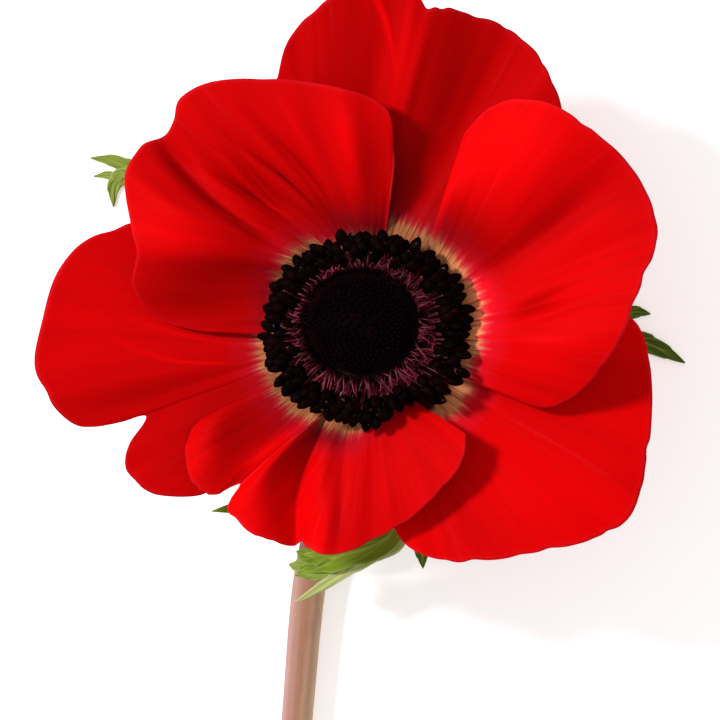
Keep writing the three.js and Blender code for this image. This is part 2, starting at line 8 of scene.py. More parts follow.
import bpy
import numpy as np
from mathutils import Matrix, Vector


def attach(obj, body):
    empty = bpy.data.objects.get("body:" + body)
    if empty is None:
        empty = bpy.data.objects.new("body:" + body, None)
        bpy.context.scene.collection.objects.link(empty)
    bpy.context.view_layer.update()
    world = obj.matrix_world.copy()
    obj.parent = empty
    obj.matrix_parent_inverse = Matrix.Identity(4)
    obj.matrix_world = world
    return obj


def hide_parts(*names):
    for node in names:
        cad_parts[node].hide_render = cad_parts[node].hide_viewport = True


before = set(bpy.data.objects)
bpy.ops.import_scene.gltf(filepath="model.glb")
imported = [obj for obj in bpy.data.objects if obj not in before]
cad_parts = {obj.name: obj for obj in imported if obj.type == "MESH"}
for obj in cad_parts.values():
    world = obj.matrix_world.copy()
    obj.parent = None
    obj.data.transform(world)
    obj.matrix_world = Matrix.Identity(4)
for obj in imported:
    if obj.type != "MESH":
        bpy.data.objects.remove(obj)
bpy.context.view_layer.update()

# ---- the bloom, as in the model ----
BLOOM_AT = (0.6, 44.9)  # in the frame
BLOOM_HEIGHT = 21.0  # of the receptacle's flange above the surface
FLANGE_AT = (0.6, -0.6)  # from the middle of the bloom
LEAN = 8.0  # degrees
LEAN_TOWARDS = 135.0
GAP = 0.35  # between neighbouring solids
CORE_RADIUS = 4.4
FLANGE_RADIUS = 5.9
CORE_TOP = 1.95
OUTER_SEAT = 0.62  # height of each whorl's claws above the flange
INNER_SEAT = 1.62
NECK_RADIUS = 2.4
SHEATH_FOOT = -6.9
SHEATH_HEIGHT = 2.4
SHEATH_SPAN = 72.0

# ---- the photograph's view: straight down on the bloom ----
IMAGE_SIZE = 720
BLOOM_PIXEL = (366, 327)
MM_PER_PIXEL = 0.128
CAMERA_HEIGHT = 1000.0  # above the flange
SENSOR = 36.0


# ---- small mathematics ----
def unit(a):
    return a / np.linalg.norm(a, axis=-1, keepdims=True)


def smooth(t):
    t = np.clip(t, 0, 1)
    return t * t * (3 - 2 * t)


def bell(x, middle, breadth):
    return np.exp(-(((x - middle) / breadth) ** 2))


def steps(count):
    """From 0 to 1 in so many even steps."""
    return np.linspace(0, 1, count + 1)


def grid(along, across):
    """Places along and across a sheet, each from 0 to 1."""
    return np.meshgrid(steps(along), steps(across), indexing="ij")


def round_angles(sides):
    return np.arange(sides) / sides * 2 * math.pi


def circle(angles, side, other):
    """Unit vectors at angles, from one direction towards another."""
    return np.cos(angles)[:, None] * side + np.sin(angles)[:, None] * other


def through(rows, t):
    """A smooth curve through rows of numbers, at each t from 0 to 1. Its ends run straight on."""
    rows = np.asarray(rows, float)
    t = np.atleast_1d(np.asarray(t, float))
    rows = np.vstack([2 * rows[0] - rows[1], rows, 2 * rows[-1] - rows[-2]])
    at = t * (len(rows) - 3)
    span = np.minimum(at.astype(int), len(rows) - 4)
    f = (at - span)[:, None]
    a, b, c, d = (rows[span + k] for k in range(4))
    return b + 0.5 * f * (c - a + f * (2 * a - 5 * b + 4 * c - d + f * (3 * b - a - 3 * c + d)))


def direction(azimuth, elevation):
    """A unit vector at an azimuth and an elevation in degrees."""
    azimuth, elevation = math.radians(azimuth), math.radians(elevation)
    flat = math.cos(elevation)
    return np.array([flat * math.cos(azimuth), flat * math.sin(azimuth), math.sin(elevation)])


AXIS = direction(LEAN_TOWARDS, 90 - LEAN)
CENTRE = np.array([*FLANGE_AT, BLOOM_HEIGHT])
LEANING = np.array(Vector((0, 0, 1)).rotation_difference(Vector(AXIS)).to_matrix())


def bloom_way(azimuth, out, up):
    """A direction in the bloom: outwards at an azimuth in degrees, and up the axis."""
    azimuth = np.radians(azimuth)
    flat = np.stack(np.broadcast_arrays(out * np.cos(azimuth), out * np.sin(azimuth), up), -1)
    return flat @ LEANING.T


def on_bloom(azimuth, radius, up):
    return bloom_way(azimuth, radius, up) + CENTRE


def plane_rise(x, y):
    """How much the flange's plane climbs over x and y."""
    return -(AXIS[0] * x + AXIS[1] * y) / AXIS[2]


def placed(points):
    return (np.asarray(points, float) + [*BLOOM_AT, 0.0]) * 0.001


# ---- meshes ----
def in_scene(name, data):
    made = bpy.data.objects.new(name, data)
    bpy.context.scene.collection.objects.link(made)
    return made


class Build:
    """Gathers closed shells, with values at their points for the material, into one piece."""

    def __init__(self):
        self.points, self.faces, self.values, self.count = [], [], {}, 0

    def add(self, points, faces, **values):
        points = np.asarray(points, float).reshape(-1, 3)
        self.points.append(points)
        self.faces += [[i + self.count for i in face] for face in faces]
        for name, value in values.items():
            value = np.asarray(value, float)
            shape = (len(points),) if value.ndim < 2 else (len(points), 3)
            self.values.setdefault(name, []).append(np.broadcast_to(value, shape))
        self.count += len(points)

    def piece(self, name, material, slot, *nodes):
        mesh = bpy.data.meshes.new(name)
        mesh.from_pydata(placed(np.vstack(self.points)).tolist(), [], self.faces)
        for key, parts in self.values.items():
            value = np.concatenate(parts).astype(np.float32)
            kind, field = ("FLOAT", "value") if value.ndim == 1 else ("FLOAT_VECTOR", "vector")
            mesh.attributes.new(key, kind, "POINT").data.foreach_set(field, value.ravel())
        mesh.shade_smooth()
        mesh.materials.append(material)
        made = in_scene(name, mesh)
        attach(made, "root")
        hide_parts(*nodes)


def loft_faces(rings, sides):
    """Faces of rings of as many points each, joined side by side and closed at both ends."""
    faces = []
    for i in range(rings - 1):
        for j in range(sides):
            a, b = i * sides + j, i * sides + (j + 1) % sides
            faces.append([a, b, b + sides, a + sides])
    faces.append(list(range(sides))[::-1])
    faces.append([(rings - 1) * sides + j for j in range(sides)])
    return faces


def ways_out(tangents, angles):
    """For each tangent a ring of directions at right angles to it, which doesn't twist along the way."""
    side = np.array([1.0, 0.0, 0.0])
    rings = []
    for along in tangents:
        side = unit(side - (side @ along) * along)
        rings.append(circle(angles, side, np.cross(along, side)))
    return np.array(rings)


def tube(path, radii, sides):
    """Points of a round tube along a path, ring by ring, with a radius for each ring."""
    ways = ways_out(unit(np.gradient(path, axis=0)), round_angles(sides))
    return path[:, None] + radii[:, None, None] * ways


def sheet(surface, thickness):
    """A closed sheet about a grid of points (n, m, 3), with a thickness at each of them."""
    n, m = surface.shape[:2]
    normal = unit(np.cross(np.gradient(surface, axis=0), np.gradient(surface, axis=1)))
    half = (np.broadcast_to(thickness, (n, m)) / 2)[..., None]
    points = np.stack([surface + half * normal, surface - half * normal]).reshape(-1, 3)
    back = n * m
    faces = []
    for i in range(n - 1):
        for j in range(m - 1):
            a, b, c, d = i * m + j, (i + 1) * m + j, (i + 1) * m + j + 1, i * m + j + 1
            faces.append([a, b, c, d])
            faces.append([a + back, d + back, c + back, b + back])
    border = [i * m for i in range(n - 1)] + [(n - 1) * m + j for j in range(m - 1)]
    border += [i * m + m - 1 for i in range(n - 1, 0, -1)] + list(range(m - 1, 0, -1))
    for a, b in zip(border, border[1:] + border[:1]):
        faces.append([a, a + back, b + back, b])
    return points, faces


LEAST_RADIUS = 0.01


def lathe(rows, rings, sides):
    """A body turned about the bloom's axis, from rows of radius and height. Its ends are on the axis."""
    profile = through(rows, steps(rings - 1))
    azimuth = np.arange(sides) / sides * 360
    points = np.array([on_bloom(azimuth, max(radius, LEAST_RADIUS), up) for radius, up in profile])
    return points, loft_faces(rings, sides)


# ---- materials ----
class Shader:
    """A material's nodes, with short calls that add and join them."""

    def __init__(self, name, **settings):
        self.material = bpy.data.materials.new(name)
        self.material.use_nodes = True
        self.tree = self.material.node_tree
        self.skin = self.tree.nodes["Principled BSDF"]
        self.set(self.skin, **settings)

    def set(self, node, **settings):
        for key, value in settings.items():
            node.inputs[key.replace("_", " ")].default_value = value

    def join(self, value, socket):
        """Links a socket, or sets a number or a colour."""
        if isinstance(value, tuple):
            socket.default_value = (*value, 1.0)
        elif isinstance(value, (int, float)):
            socket.default_value = value
        else:
            self.tree.links.new(value, socket)

    def add(self, kind, *values, **settings):
        """Adds a node, with what goes into its first inputs and settings of others by name."""
        node = self.tree.nodes.new("ShaderNode" + kind)
        self.set(node, **settings)
        for socket, value in zip(node.inputs, values):
            self.join(value, socket)
        return node

    def attribute(self, name, output="Fac"):
        node = self.add("Attribute")
        node.attribute_name = name
        return node.outputs[output]

    def parts(self, vector):
        return self.add("SeparateXYZ", vector).outputs

    def noise(self, vector, scale, detail=3.0, roughness=0.5):
        """Noise at a scale, or at three: along x, y and z."""
        if isinstance(scale, tuple):
            vector, scale = self.add("Mapping", vector, Scale=scale).outputs[0], 1.0
        return self.add("TexNoise", vector, Scale=scale, Detail=detail, Roughness=roughness).outputs["Fac"]

    def mapped(self, *value_and_ranges):
        """A value mapped from the first range to the second, which is 0 to 1 unless it is given."""
        return self.add("MapRange", *value_and_ranges).outputs[0]

    def maths(self, operation, a, b=0.0):
        node = self.add("Math", a, b)
        node.operation = operation
        return node.outputs[0]

    def ramp(self, value, *stops):
        node = self.add("ValToRGB", value)
        elements = node.color_ramp.elements
        elements.remove(elements[1])
        elements[0].position = stops[0][0]
        elements[0].color = (*stops[0][1], 1.0)
        for at, colour in stops[1:]:
            elements.new(at).color = (*colour, 1.0)
        return node.outputs["Color"]

    def mix(self, share, a, b, blend="MIX"):
        node = self.add("Mix", share)
        node.data_type = "RGBA"
        node.blend_type = blend
        self.join(a, node.inputs[6])
        self.join(b, node.inputs[7])
        return node.outputs[2]

    def tint(self, colour, other, value, low, high, share=1.0):
        """Turns a colour to another one, up to a share, where a value goes from low to high."""
        return self.mix(self.mapped(value, low, high, 0.0, share), colour, other)

    def bump(self, height, distance, strength, onto=None):
        node = self.add("Bump", Distance=distance, Strength=strength)
        self.join(height, node.inputs["Height"])
        if onto:
            self.join(onto, node.inputs["Normal"])
        return node.outputs["Normal"]

    def finish(self, colour, normal=None, through_share=0.0):
        """Sets the skin's colour and normal, and the share of the light that comes through from behind."""
        self.join(colour, self.skin.inputs["Base Color"])
        if normal:
            self.join(normal, self.skin.inputs["Normal"])
        if through_share:
            passing = self.add("BsdfTranslucent", colour)
            both = self.add("MixShader", through_share, self.skin.outputs[0], passing.outputs[0])
            self.join(both.outputs[0], self.tree.nodes["Material Output"].inputs["Surface"])
        return self.material


# ---- petals ----
# Each petal, by the name of its tepal.
# - seat: height of its claw above the flange. claw: azimuths along the claw. rise: degrees that it leaves the
#   core at. tone scales the colour: painted light and shade over the whole petal, lighter on the right-hand
#   petals and deeper on the top and left ones. pleat: height of random pleats. corner: how much shorter the
#   petal is at its rounded corners. side: how pale the edge of its first side is.
# - nicks: place, width and depth of notches in the rim, or of bulges where the depth is below 0.
# - rim: x, y, lift above the flange's plane, and slope in degrees.
# - folds: place and width across (0 to 1), place and width along (0 to 1), height, and how far the fold moves
#   across on its way along, if it does. The rows of painted light and shade are the same: painted shade makes
#   the colour deeper where the petal turns from the key light or lies in a cast shadow, painted light makes
#   it lighter.
PETALS = {
    "top": dict(
        seat=OUTER_SEAT, claw=[128, 40], rise=8, tone=0.93, pleat=0.06, ring=[1.2, 0.9],
        nicks=[[0.43, 0.014, -0.014], [0.465, 0.014, 0.016]],
        rim=[
            [-11.6, 31.6, 5, 12], [-9.8, 36.9, 6.6, 14], [-6, 41, 8, 16], [-1.2, 43.6, 8.8, 20],
            [3.6, 44, 9.4, 30], [7.4, 41.4, 8.4, 20], [12.2, 40.4, 7.6, 16], [17.4, 38.5, 6.8, 14],
            [21.8, 34.8, 6, 10], [24.7, 28.8, 5, 8], [24.6, 23, 4.2, 6], [20, 15.6, 3, 4],
        ],
        folds=[
            [0.456, 0.083, 0.8, 0.5, 0.9], [0.35, 0.012, 0.88, 0.12, 0.5, -0.4],
            [0.43, 0.02, 0.8, 0.35, 0.35], [0.475, 0.02, 0.75, 0.4, 0.35], [0.66, 0.09, 0.75, 0.5, -1.6],
            [0.9, 0.2, 0.9, 0.5, -1.2], [0.78, 0.04, 0.9, 0.3, 0.3],
        ],
        painted_light_and_shade=[
            [0.48, 0.12, 0.3, 0.22, -0.6], [0.82, 0.12, 0.3, 0.22, -0.4], [0.57, 0.06, 0.8, 0.3, -0.22],
            [0.352, 0.01, 0.88, 0.1, 0.6, -0.4], [0.44, 0.03, 0.75, 0.25, 0.15],
            [0.25, 0.12, 0.9, 0.3, -0.08],
        ],
    ),
    "left": dict(
        seat=OUTER_SEAT, claw=[168, 222], rise=6, tone=0.96, pleat=0.05, ring=[1.1, 0.5],
        rim=[
            [-18, 11.5, 1.6, 0], [-26, 14, 2, 0], [-32, 12.8, 2.6, 2], [-36.5, 10.6, 3.6, 6],
            [-39.7, 6.6, 4.6, 8], [-41.4, 0.8, 5, 8], [-42.4, -4.8, 5, 6], [-40.5, -9.3, 4.4, 4],
            [-37, -12.6, 3.6, 2], [-32.6, -12.4, 3, 2], [-28.2, -11.4, 2.2, 2], [-30.4, -15, 1.8, 0],
            [-30.6, -18.6, 1.2, -2], [-27.4, -21.2, 0.8, -4], [-21, -21.4, 0.4, -4], [-15.6, -17.6, 0.4, 0],
        ],
        folds=[
            [0.36, 0.1, 0.7, 0.5, 0.6], [0.52, 0.08, 0.7, 0.5, -0.6], [0.2, 0.05, 0.7, 0.35, 0.4],
            [0.36, 0.04, 0.6, 0.4, -0.35], [0.47, 0.03, 0.7, 0.4, 0.35], [0.62, 0.04, 0.6, 0.4, -0.3],
            [0.8, 0.06, 0.8, 0.3, 0.4],
        ],
        painted_light_and_shade=[
            [0.3, 0.12, 0.85, 0.2, 0.12], [0.7, 0.16, 0.55, 0.3, -0.2], [0.85, 0.1, 0.8, 0.3, -0.05],
            [0.52, 0.04, 0.7, 0.3, -0.1], [0.345, 0.006, 0.45, 0.2, 0.3, -0.12],
            [0.43, 0.006, 0.5, 0.2, 0.3, -0.3], [0.45, 0.005, 0.42, 0.12, 0.22, -0.25],
        ],
    ),
    "lower_right": dict(
        seat=OUTER_SEAT, claw=[-84, 4], rise=5, tone=1.2, pleat=0.05, ring=[0.4, 0.1, 0.1, 1.2, 1.6],
        rim=[
            [2, -16, 1.4, 0], [3, -23.6, 1.2, 0], [5.4, -28, 1.4, -2], [10.6, -29.9, 2, -2],
            [16.4, -29.7, 2.4, 0], [23.2, -28.5, 2.4, 0], [28.8, -27, 2.2, -4], [33.6, -24, 1.8, -8],
            [35.6, -17.4, 1.6, -8], [36.4, -10.8, 1.4, -6], [36.2, -4.9, 1.4, -4], [34, 1, 1.4, 0],
            [27.6, 3, 1.4, 2], [20, 2.4, 1.4, 2],
        ],
        folds=[
            [0.36, 0.1, 0.8, 0.5, 0.9], [0.55, 0.08, 0.7, 0.5, -0.6], [0.15, 0.05, 0.8, 0.3, 0.4],
            [0.32, 0.05, 0.8, 0.3, -0.4], [0.46, 0.05, 0.75, 0.3, 0.5], [0.62, 0.05, 0.8, 0.3, -0.4],
            [0.8, 0.06, 0.8, 0.3, 0.4],
        ],
        painted_light_and_shade=[
            [0.3, 0.06, 0.9, 0.2, -0.15], [0.46, 0.08, 0.75, 0.3, 0.15], [0.72, 0.08, 0.95, 0.2, -0.12],
            [0.85, 0.15, 0.95, 0.25, 0.3], [0.15, 0.08, 0.7, 0.4, 0.12],
        ],
    ),
    "upper_left": dict(
        seat=INNER_SEAT, claw=[82, 92, 105, 120, 142, 186], rise=10, tone=1, pleat=0.1,
        ring=[3.4, 3.4, 3.4, 3.4, 1.6, 1.6, 3, 3],
        rim=[
            [2.8, 16.6, 7.2, 20], [3.3, 22, 9, 20], [2.4, 28, 10, 14], [-3.4, 30.4, 9.4, 10],
            [-11.6, 31.6, 8.6, 6], [-19, 31.4, 8, 4], [-23.6, 29.4, 7.6, 2], [-25.2, 25.2, 7.2, 0],
            [-29, 23, 7.8, -4], [-30.6, 18.6, 9, -8], [-30, 13.6, 10, -10], [-29.2, 9.8, 10, -8],
            [-29.9, 5.4, 7.4, -10], [-27.4, 1.8, 5.2, -10], [-22.8, -0.2, 4.2, -4], [-16, -0.8, 3.4, 0],
        ],
        folds=[
            [0.22, 0.05, 0.7, 0.4, 0.7], [0.36, 0.04, 0.7, 0.4, 0.5], [0.5, 0.035, 0.8, 0.4, -1.1],
            [0.64, 0.08, 0.65, 0.35, 1.8], [0, 0.17, 0.7, 0.6, -3], [0.19, 0.025, 0.75, 0.25, 0.9],
            [0.235, 0.014, 0.75, 0.3, -0.45], [0.27, 0.014, 0.75, 0.25, 0.45],
            [0.3, 0.011, 0.6, 0.2, -0.6, 0.05], [0.34, 0.014, 0.62, 0.2, 0.4],
            [0.378, 0.01, 0.56, 0.17, -0.7, 0.03], [0.41, 0.02, 0.75, 0.25, 0.5],
            [0.43, 0.01, 0.6, 0.15, -0.45, -0.2], [0.455, 0.01, 0.62, 0.15, -0.6, -0.25],
            [0.49, 0.012, 0.62, 0.18, -0.9, -0.15], [0.517, 0.014, 0.68, 0.2, 0.6, -0.18],
            [0.548, 0.02, 0.75, 0.28, -1.5, -0.24], [0.585, 0.012, 0.62, 0.2, 0.4, -0.2],
            [0.6, 0.01, 0.55, 0.15, -0.45, -0.2], [0.615, 0.02, 0.8, 0.25, 0.7, -0.2],
            [0.63, 0.012, 0.5, 0.13, -0.55, -0.2], [0.73, 0.04, 0.8, 0.35, 1], [0.86, 0.07, 0.7, 0.35, -1.4],
        ],
        painted_light_and_shade=[
            [0.2, 0.3, 0.28, 0.15, -0.62], [0.04, 0.07, 0.6, 0.4, -0.25], [0.2, 0.02, 0.75, 0.2, 0.28],
            [0.27, 0.012, 0.72, 0.2, 0.15], [0.3, 0.009, 0.58, 0.15, -0.25, 0.05],
            [0.378, 0.008, 0.55, 0.13, -0.3, 0.03], [0.45, 0.05, 0.52, 0.14, -0.2],
            [0.43, 0.008, 0.6, 0.14, -0.2, -0.2], [0.458, 0.008, 0.58, 0.13, -0.3, -0.25],
            [0.6, 0.008, 0.55, 0.14, -0.25, -0.2], [0.63, 0.01, 0.5, 0.12, -0.25, -0.2],
            [0.57, 0.008, 0.62, 0.15, 0.2, -0.2], [0.49, 0.01, 0.62, 0.15, -0.25, -0.15],
            [0.55, 0.022, 0.76, 0.24, -0.38, -0.24], [0.68, 0.06, 0.84, 0.22, 0.25],
            [0.66, 0.07, 0.36, 0.08, 0.25], [0.9, 0.13, 0.65, 0.4, -0.25], [0.92, 0.2, 0.3, 0.14, -0.45],
        ],
    ),
    "right": dict(
        seat=INNER_SEAT, claw=[48, -30], rise=10, tone=1.12, pleat=0.06, corner=0.07,
        ring=[1.1, 1, 0.6, 0.8, 1.6],
        rim=[
            [13.2, 26.2, 9, 16], [17.8, 28.6, 11.4, 14], [23, 28.2, 12.2, 14], [28.4, 25, 12, 12],
            [33.2, 20.5, 12, 14], [36.4, 14.5, 12.6, 16], [36.4, 9.5, 13, 18], [34.4, 4.4, 12.8, 18],
            [32.5, -0.6, 11.6, 14], [30, -5, 9.2, 6], [26.4, -8.8, 6.2, -4], [22.5, -10.2, 4.2, -10],
            [17.6, -8.6, 3.8, -4],
        ],
        folds=[
            [0.183, 0.105, 0.7, 0.35, 1.2], [0.347, 0.093, 0.65, 0.3, -1.1], [0.673, 0.07, 0.5, 0.2, 0.6],
            [0, 0.08, 0.5, 0.22, 2.2], [0.26, 0.11, 0.85, 0.3, 1.7], [0.34, 0.03, 0.7, 0.3, -0.7],
            [0.39, 0.03, 0.75, 0.25, 0.4], [0.46, 0.03, 0.75, 0.25, -0.5],
            [0.56, 0.03, 0.55, 0.14, -0.9, -0.1], [0.61, 0.02, 0.6, 0.14, 0.5, -0.1],
            [0.71, 0.05, 0.8, 0.25, 0.7], [0.86, 0.04, 0.8, 0.25, -0.4],
        ],
        painted_light_and_shade=[
            [0.15, 0.2, 0.36, 0.14, -0.5], [0.13, 0.13, 0.78, 0.26, 0.25], [0.33, 0.03, 0.62, 0.2, -0.15],
            [0.65, 0.2, 0.36, 0.12, 0.15], [0.5, 0.6, 0.28, 0.05, 0.5], [0.34, 0.04, 0.7, 0.2, -0.12],
            [0.57, 0.04, 0.52, 0.09, -0.22, -0.1], [0.72, 0.1, 0.72, 0.22, 0.14],
            [0.42, 0.1, 0.95, 0.1, -0.12],
        ],
    ),
    "lower": dict(
        seat=INNER_SEAT, claw=[250, 258, 268, 281, 294], rise=14, tone=1.06, pleat=0.05, side=0.4,
        ring=[1.6, 1.6, 2.1, 5.6, 8],
        nicks=[[0.345, 0.02, 0.03], [0.2, 0.03, -0.012], [0.13, 0.02, 0.012]],
        rim=[
            [-16, -20, 4, -10], [-17.6, -23.4, 3, -20], [-14.8, -26, 3.2, -10], [-11, -27.6, 3.2, -8],
            [-8, -28, 3.2, -8], [-5.2, -29, 4.2, -8], [-1.8, -28.4, 4.6, -8], [2.4, -26.4, 4.8, -8],
            [6, -24, 5.4, -4], [9.6, -20.6, 6.4, 4], [12.2, -17, 7.4, 20], [12.6, -13.6, 7.4, 40],
        ],
        folds=[
            [0.11, 0.08, 0.78, 0.45, 1.6, 0.45], [0.255, 0.075, 0.78, 0.5, -1.9, 0.4],
            [0.38, 0.08, 0.8, 0.5, 0.9, 0.35], [0.27, 0.035, 0.85, 0.4, -0.7, 0.4],
            [0.46, 0.03, 0.7, 0.3, -0.3, 0.2], [0.6, 0.04, 0.8, 0.3, -0.25],
        ],
        painted_light_and_shade=[
            [0.2, 0.25, 0.38, 0.08, -0.6], [0.05, 0.09, 0.95, 0.28, 0.3, 0.4],
            [0.2, 0.09, 0.8, 0.4, 0.22, 0.45], [0.06, 0.08, 0.5, 0.2, -0.4, 0.3],
            [0.32, 0.06, 0.78, 0.35, 0.2, 0.4], [0.44, 0.04, 0.68, 0.3, -0.15, 0.3],
            [0.49, 0.02, 0.75, 0.2, 0.1],
        ],
    ),
    "lower_left": dict(
        seat=INNER_SEAT, claw=[206, 246], rise=4, tone=0.97, pleat=0.05, ring=[0.8, 1.4],
        rim=[
            [-15.6, -10, 2.2, -10], [-20.6, -11.6, 3.6, -30], [-22.9, -15, 3.8, -36],
            [-22.2, -19.6, 3.4, -36], [-19.4, -21.4, 2.6, -22], [-16.2, -20.2, 2, -10],
            [-9.5, -19.5, 1.4, 0],
        ],
        folds=[
            [0.6, 0.2, 0.7, 0.3, -0.3], [0.42, 0.25, 0.84, 0.12, 1], [0.48, 0.15, 0.6, 0.2, -0.6],
            [0.86, 0.19, 0.82, 0.33, 1.6],
        ],
        painted_light_and_shade=[
            [0.42, 0.22, 0.98, 0.09, 0.15], [0.4, 0.2, 0.62, 0.18, -0.3], [0.05, 0.16, 0.75, 0.4, -0.3],
            [0.84, 0.17, 0.75, 0.4, 0.5], [0.5, 0.5, 0.4, 0.12, -0.2],
        ],
    ),
}
CLAW_PULL = 0.38
RIM_PULL = 0.36
FOLDS_FROM = 0.35  # share of the way out where folds have their full height
CORNER = 0.05  # width of a petal's rounded corners
PETAL_ALONG = 72
PETAL_ACROSS = 200
PETAL_THICK = (0.5, 0.24)  # at the claw and at the rim
# Ranges of random pleats, of flutters, which are small waves at the rim, and of ripples of its edge.
PLEATS = {"count": 30, "width": (0.01, 0.028), "middle": (0.5, 1), "length": 0.4}
FLUTTERS = {"count": 9, "width": (0.02, 0.045), "length": (0.08, 0.2), "height": (-0.35, 0.35)}
RIPPLES = {"count": 26, "width": (0.008, 0.025), "depth": (-0.004, 0.008)}
RIM_PALE = 0.35
RIM_WIDTH = 0.02
SIDE_WIDTH = 0.02
SIDE_FADE = 0.015
GRAIN_APART = 7.3  # from one petal's grain to the next one's


def random_folds(random, pleat):
    """Pleats along a petal and flutters of its rim, as rows like those of the folds."""
    rows = []
    for _ in range(PLEATS["count"]):
        height = random.uniform(-pleat, pleat)
        at, width = random.random(), random.uniform(*PLEATS["width"])
        rows.append([at, width, random.uniform(*PLEATS["middle"]), PLEATS["length"], height])
    for _ in range(FLUTTERS["count"]):
        height = random.uniform(*FLUTTERS["height"])
        at, width = random.random(), random.uniform(*FLUTTERS["width"])
        rows.append([at, width, 1.0, random.uniform(*FLUTTERS["length"]), height])
    return rows


def trimmed(random, petal):
    """How much shorter a petal is across: rounded corners, notches, and small random ripples of the rim."""
    v = steps(PETAL_ACROSS)
    trim = petal.get("corner", 0) * np.maximum(1 - np.minimum(v, 1 - v) / CORNER, 0) ** 2
    for at, width, depth in petal.get("nicks", []):
        trim += depth * bell(v, at, width)
    for _ in range(RIPPLES["count"]):
        depth = random.uniform(*RIPPLES["depth"])
        trim += depth * bell(v, random.random(), random.uniform(*RIPPLES["width"]))
    return trim


def patches(rows, u, v):
    """What each row of folds, and each row of painted light and shade, adds at places along (u) and across
    (v) a petal.
    """
    for at, width, middle, length, amount, *slant in rows:
        yield amount * bell(v, at + sum(slant) * (u - middle), width) * bell(u, middle, length)


def petal_surface(petal, folds, trim):
    """A grid of points from the claw to the rim, and from the petal's first side to its last."""
    v = steps(PETAL_ACROSS)
    u = steps(PETAL_ALONG)[:, None] * (1 - trim)
    azimuth = through([[a] for a in petal["claw"]], v)[:, 0]
    rise = math.radians(petal["rise"])
    start = on_bloom(azimuth, CORE_RADIUS + GAP, petal["seat"])
    leave = bloom_way(azimuth, math.cos(rise), math.sin(rise))
    x, y, lift, slope = through(petal["rim"], v).T
    z = CENTRE[2] + plane_rise(x - CENTRE[0], y - CENTRE[1]) + lift
    end = np.stack([x, y, z], -1)
    flat = unit(end[:, :2] - start[:, :2])
    climb = plane_rise(*flat.T) + np.tan(np.radians(slope))
    arrive = unit(np.column_stack([flat, climb]))
    reach = np.linalg.norm(end - start, axis=1)[:, None]
    knots = [start, start + CLAW_PULL * reach * leave, end - RIM_PULL * reach * arrive, end]
    shares = [(1 - u) ** 3, 3 * u * (1 - u) ** 2, 3 * u * u * (1 - u), u**3]
    surface = sum(share[:, :, None] * knot for share, knot in zip(shares, knots))
    height = sum(patches(folds, u, v)) * smooth(u / FOLDS_FROM)
    return surface + height[..., None] * AXIS


# Painted shade: the petals are near-black at their bases, under the anthers, where the anthers shade them.
SHADE_UNDER_ANTHERS = (0.02, 0.001, 0.002)
CREAM = (0.64, 0.25, 0.1)
ROSE = (0.6, 0.04, 0.045)
BLUSH = (0.56, 0.004, 0.012)
SCARLET = (0.56, 0.0002, 0.0008)
DEEP_RED = (0.4, 0.0001, 0.0006)
PINK = (0.62, 0.012, 0.022)
DARK_LINE = (0.1, 0.012, 0.012)
UNDERSIDE = (0.4, 0.02, 0.03)
RING = (12.0, 22.0)  # radii between which the base, the cream ring, and the red lie


def petal_material():
    shader = Shader("petal", Roughness=0.65, Specular_IOR_Level=0.02)
    grain = shader.attribute("grain", "Vector")
    reach = shader.attribute("reach")
    veins = shader.noise(grain, (26, 1.1, 1), 4.0, 0.6)
    fine = shader.noise(grain, (110, 2.2, 1), 2.0)
    ragged = shader.noise(grain, (40, 0.6, 1), 2.0)
    spread = shader.maths("ADD", reach, shader.mapped(ragged, 0.3, 0.7, -0.7, 0.7))
    # From the painted shade under the anthers, through the cream ring, to the red.
    stops = [(0.08, SHADE_UNDER_ANTHERS), (0.14, CREAM), (0.3, CREAM), (0.37, ROSE), (0.46, BLUSH), (0.75, SCARLET)]
    colour = shader.ramp(shader.mapped(spread, *RING), *stops)
    colour = shader.tint(colour, DEEP_RED, veins, 0.42, 0.72, 0.5)
    colour = shader.tint(colour, PINK, shader.noise(grain, (60, 1.4, 1)), 0.62, 0.8, 0.25)
    lines = shader.maths("MULTIPLY", shader.mapped(fine, 0.5, 0.62), shader.mapped(reach, 17.0, 14.5))
    colour = shader.mix(shader.maths("MULTIPLY", lines, 0.7), colour, DARK_LINE)
    colour = shader.mix(shader.attribute("edge"), colour, PINK)
    colour = shader.mix(shader.maths("MULTIPLY", shader.attribute("under"), 0.6), colour, UNDERSIDE)
    # Painted light and shade: the tone of each petal and of its rows scales the colour here.
    colour = shader.mix(1.0, colour, shader.attribute("tone"), "MULTIPLY")
    normal = shader.bump(veins, 0.00015, 0.5, shader.bump(fine, 0.00004, 0.5))
    return shader.finish(colour, normal, 0.2)


def petal_values(petal, number, surface, u, v):
    """What the material reads at each point of a petal's two faces."""
    reach = np.linalg.norm(np.cross(surface - CENTRE, AXIS), axis=-1)  # from the bloom's axis
    reach += np.interp(v, steps(len(petal["ring"]) - 1), petal["ring"])
    grain = np.stack([v, u, 0 * u + GRAIN_APART * number], -1)
    side = petal.get("side", 0) * smooth((SIDE_WIDTH - v) / SIDE_FADE)
    rim = RIM_PALE * smooth((u - (1 - RIM_WIDTH)) / RIM_WIDTH)
    # The tone is painted light and shade: the petal's tone times its rows of painted shade and painted light.
    tone = petal["tone"] * np.prod([1 + patch for patch in patches(petal["painted_light_and_shade"], u, v)], axis=0)
    return {
        "grain": np.stack([grain, grain]).reshape(-1, 3),
        "reach": np.tile(reach.ravel(), 2),
        "edge": np.tile(np.maximum(rim, side).ravel(), 2),
        "under": np.repeat([0.0, 1.0], u.size),
        "tone": np.tile(tone.ravel(), 2),
    }


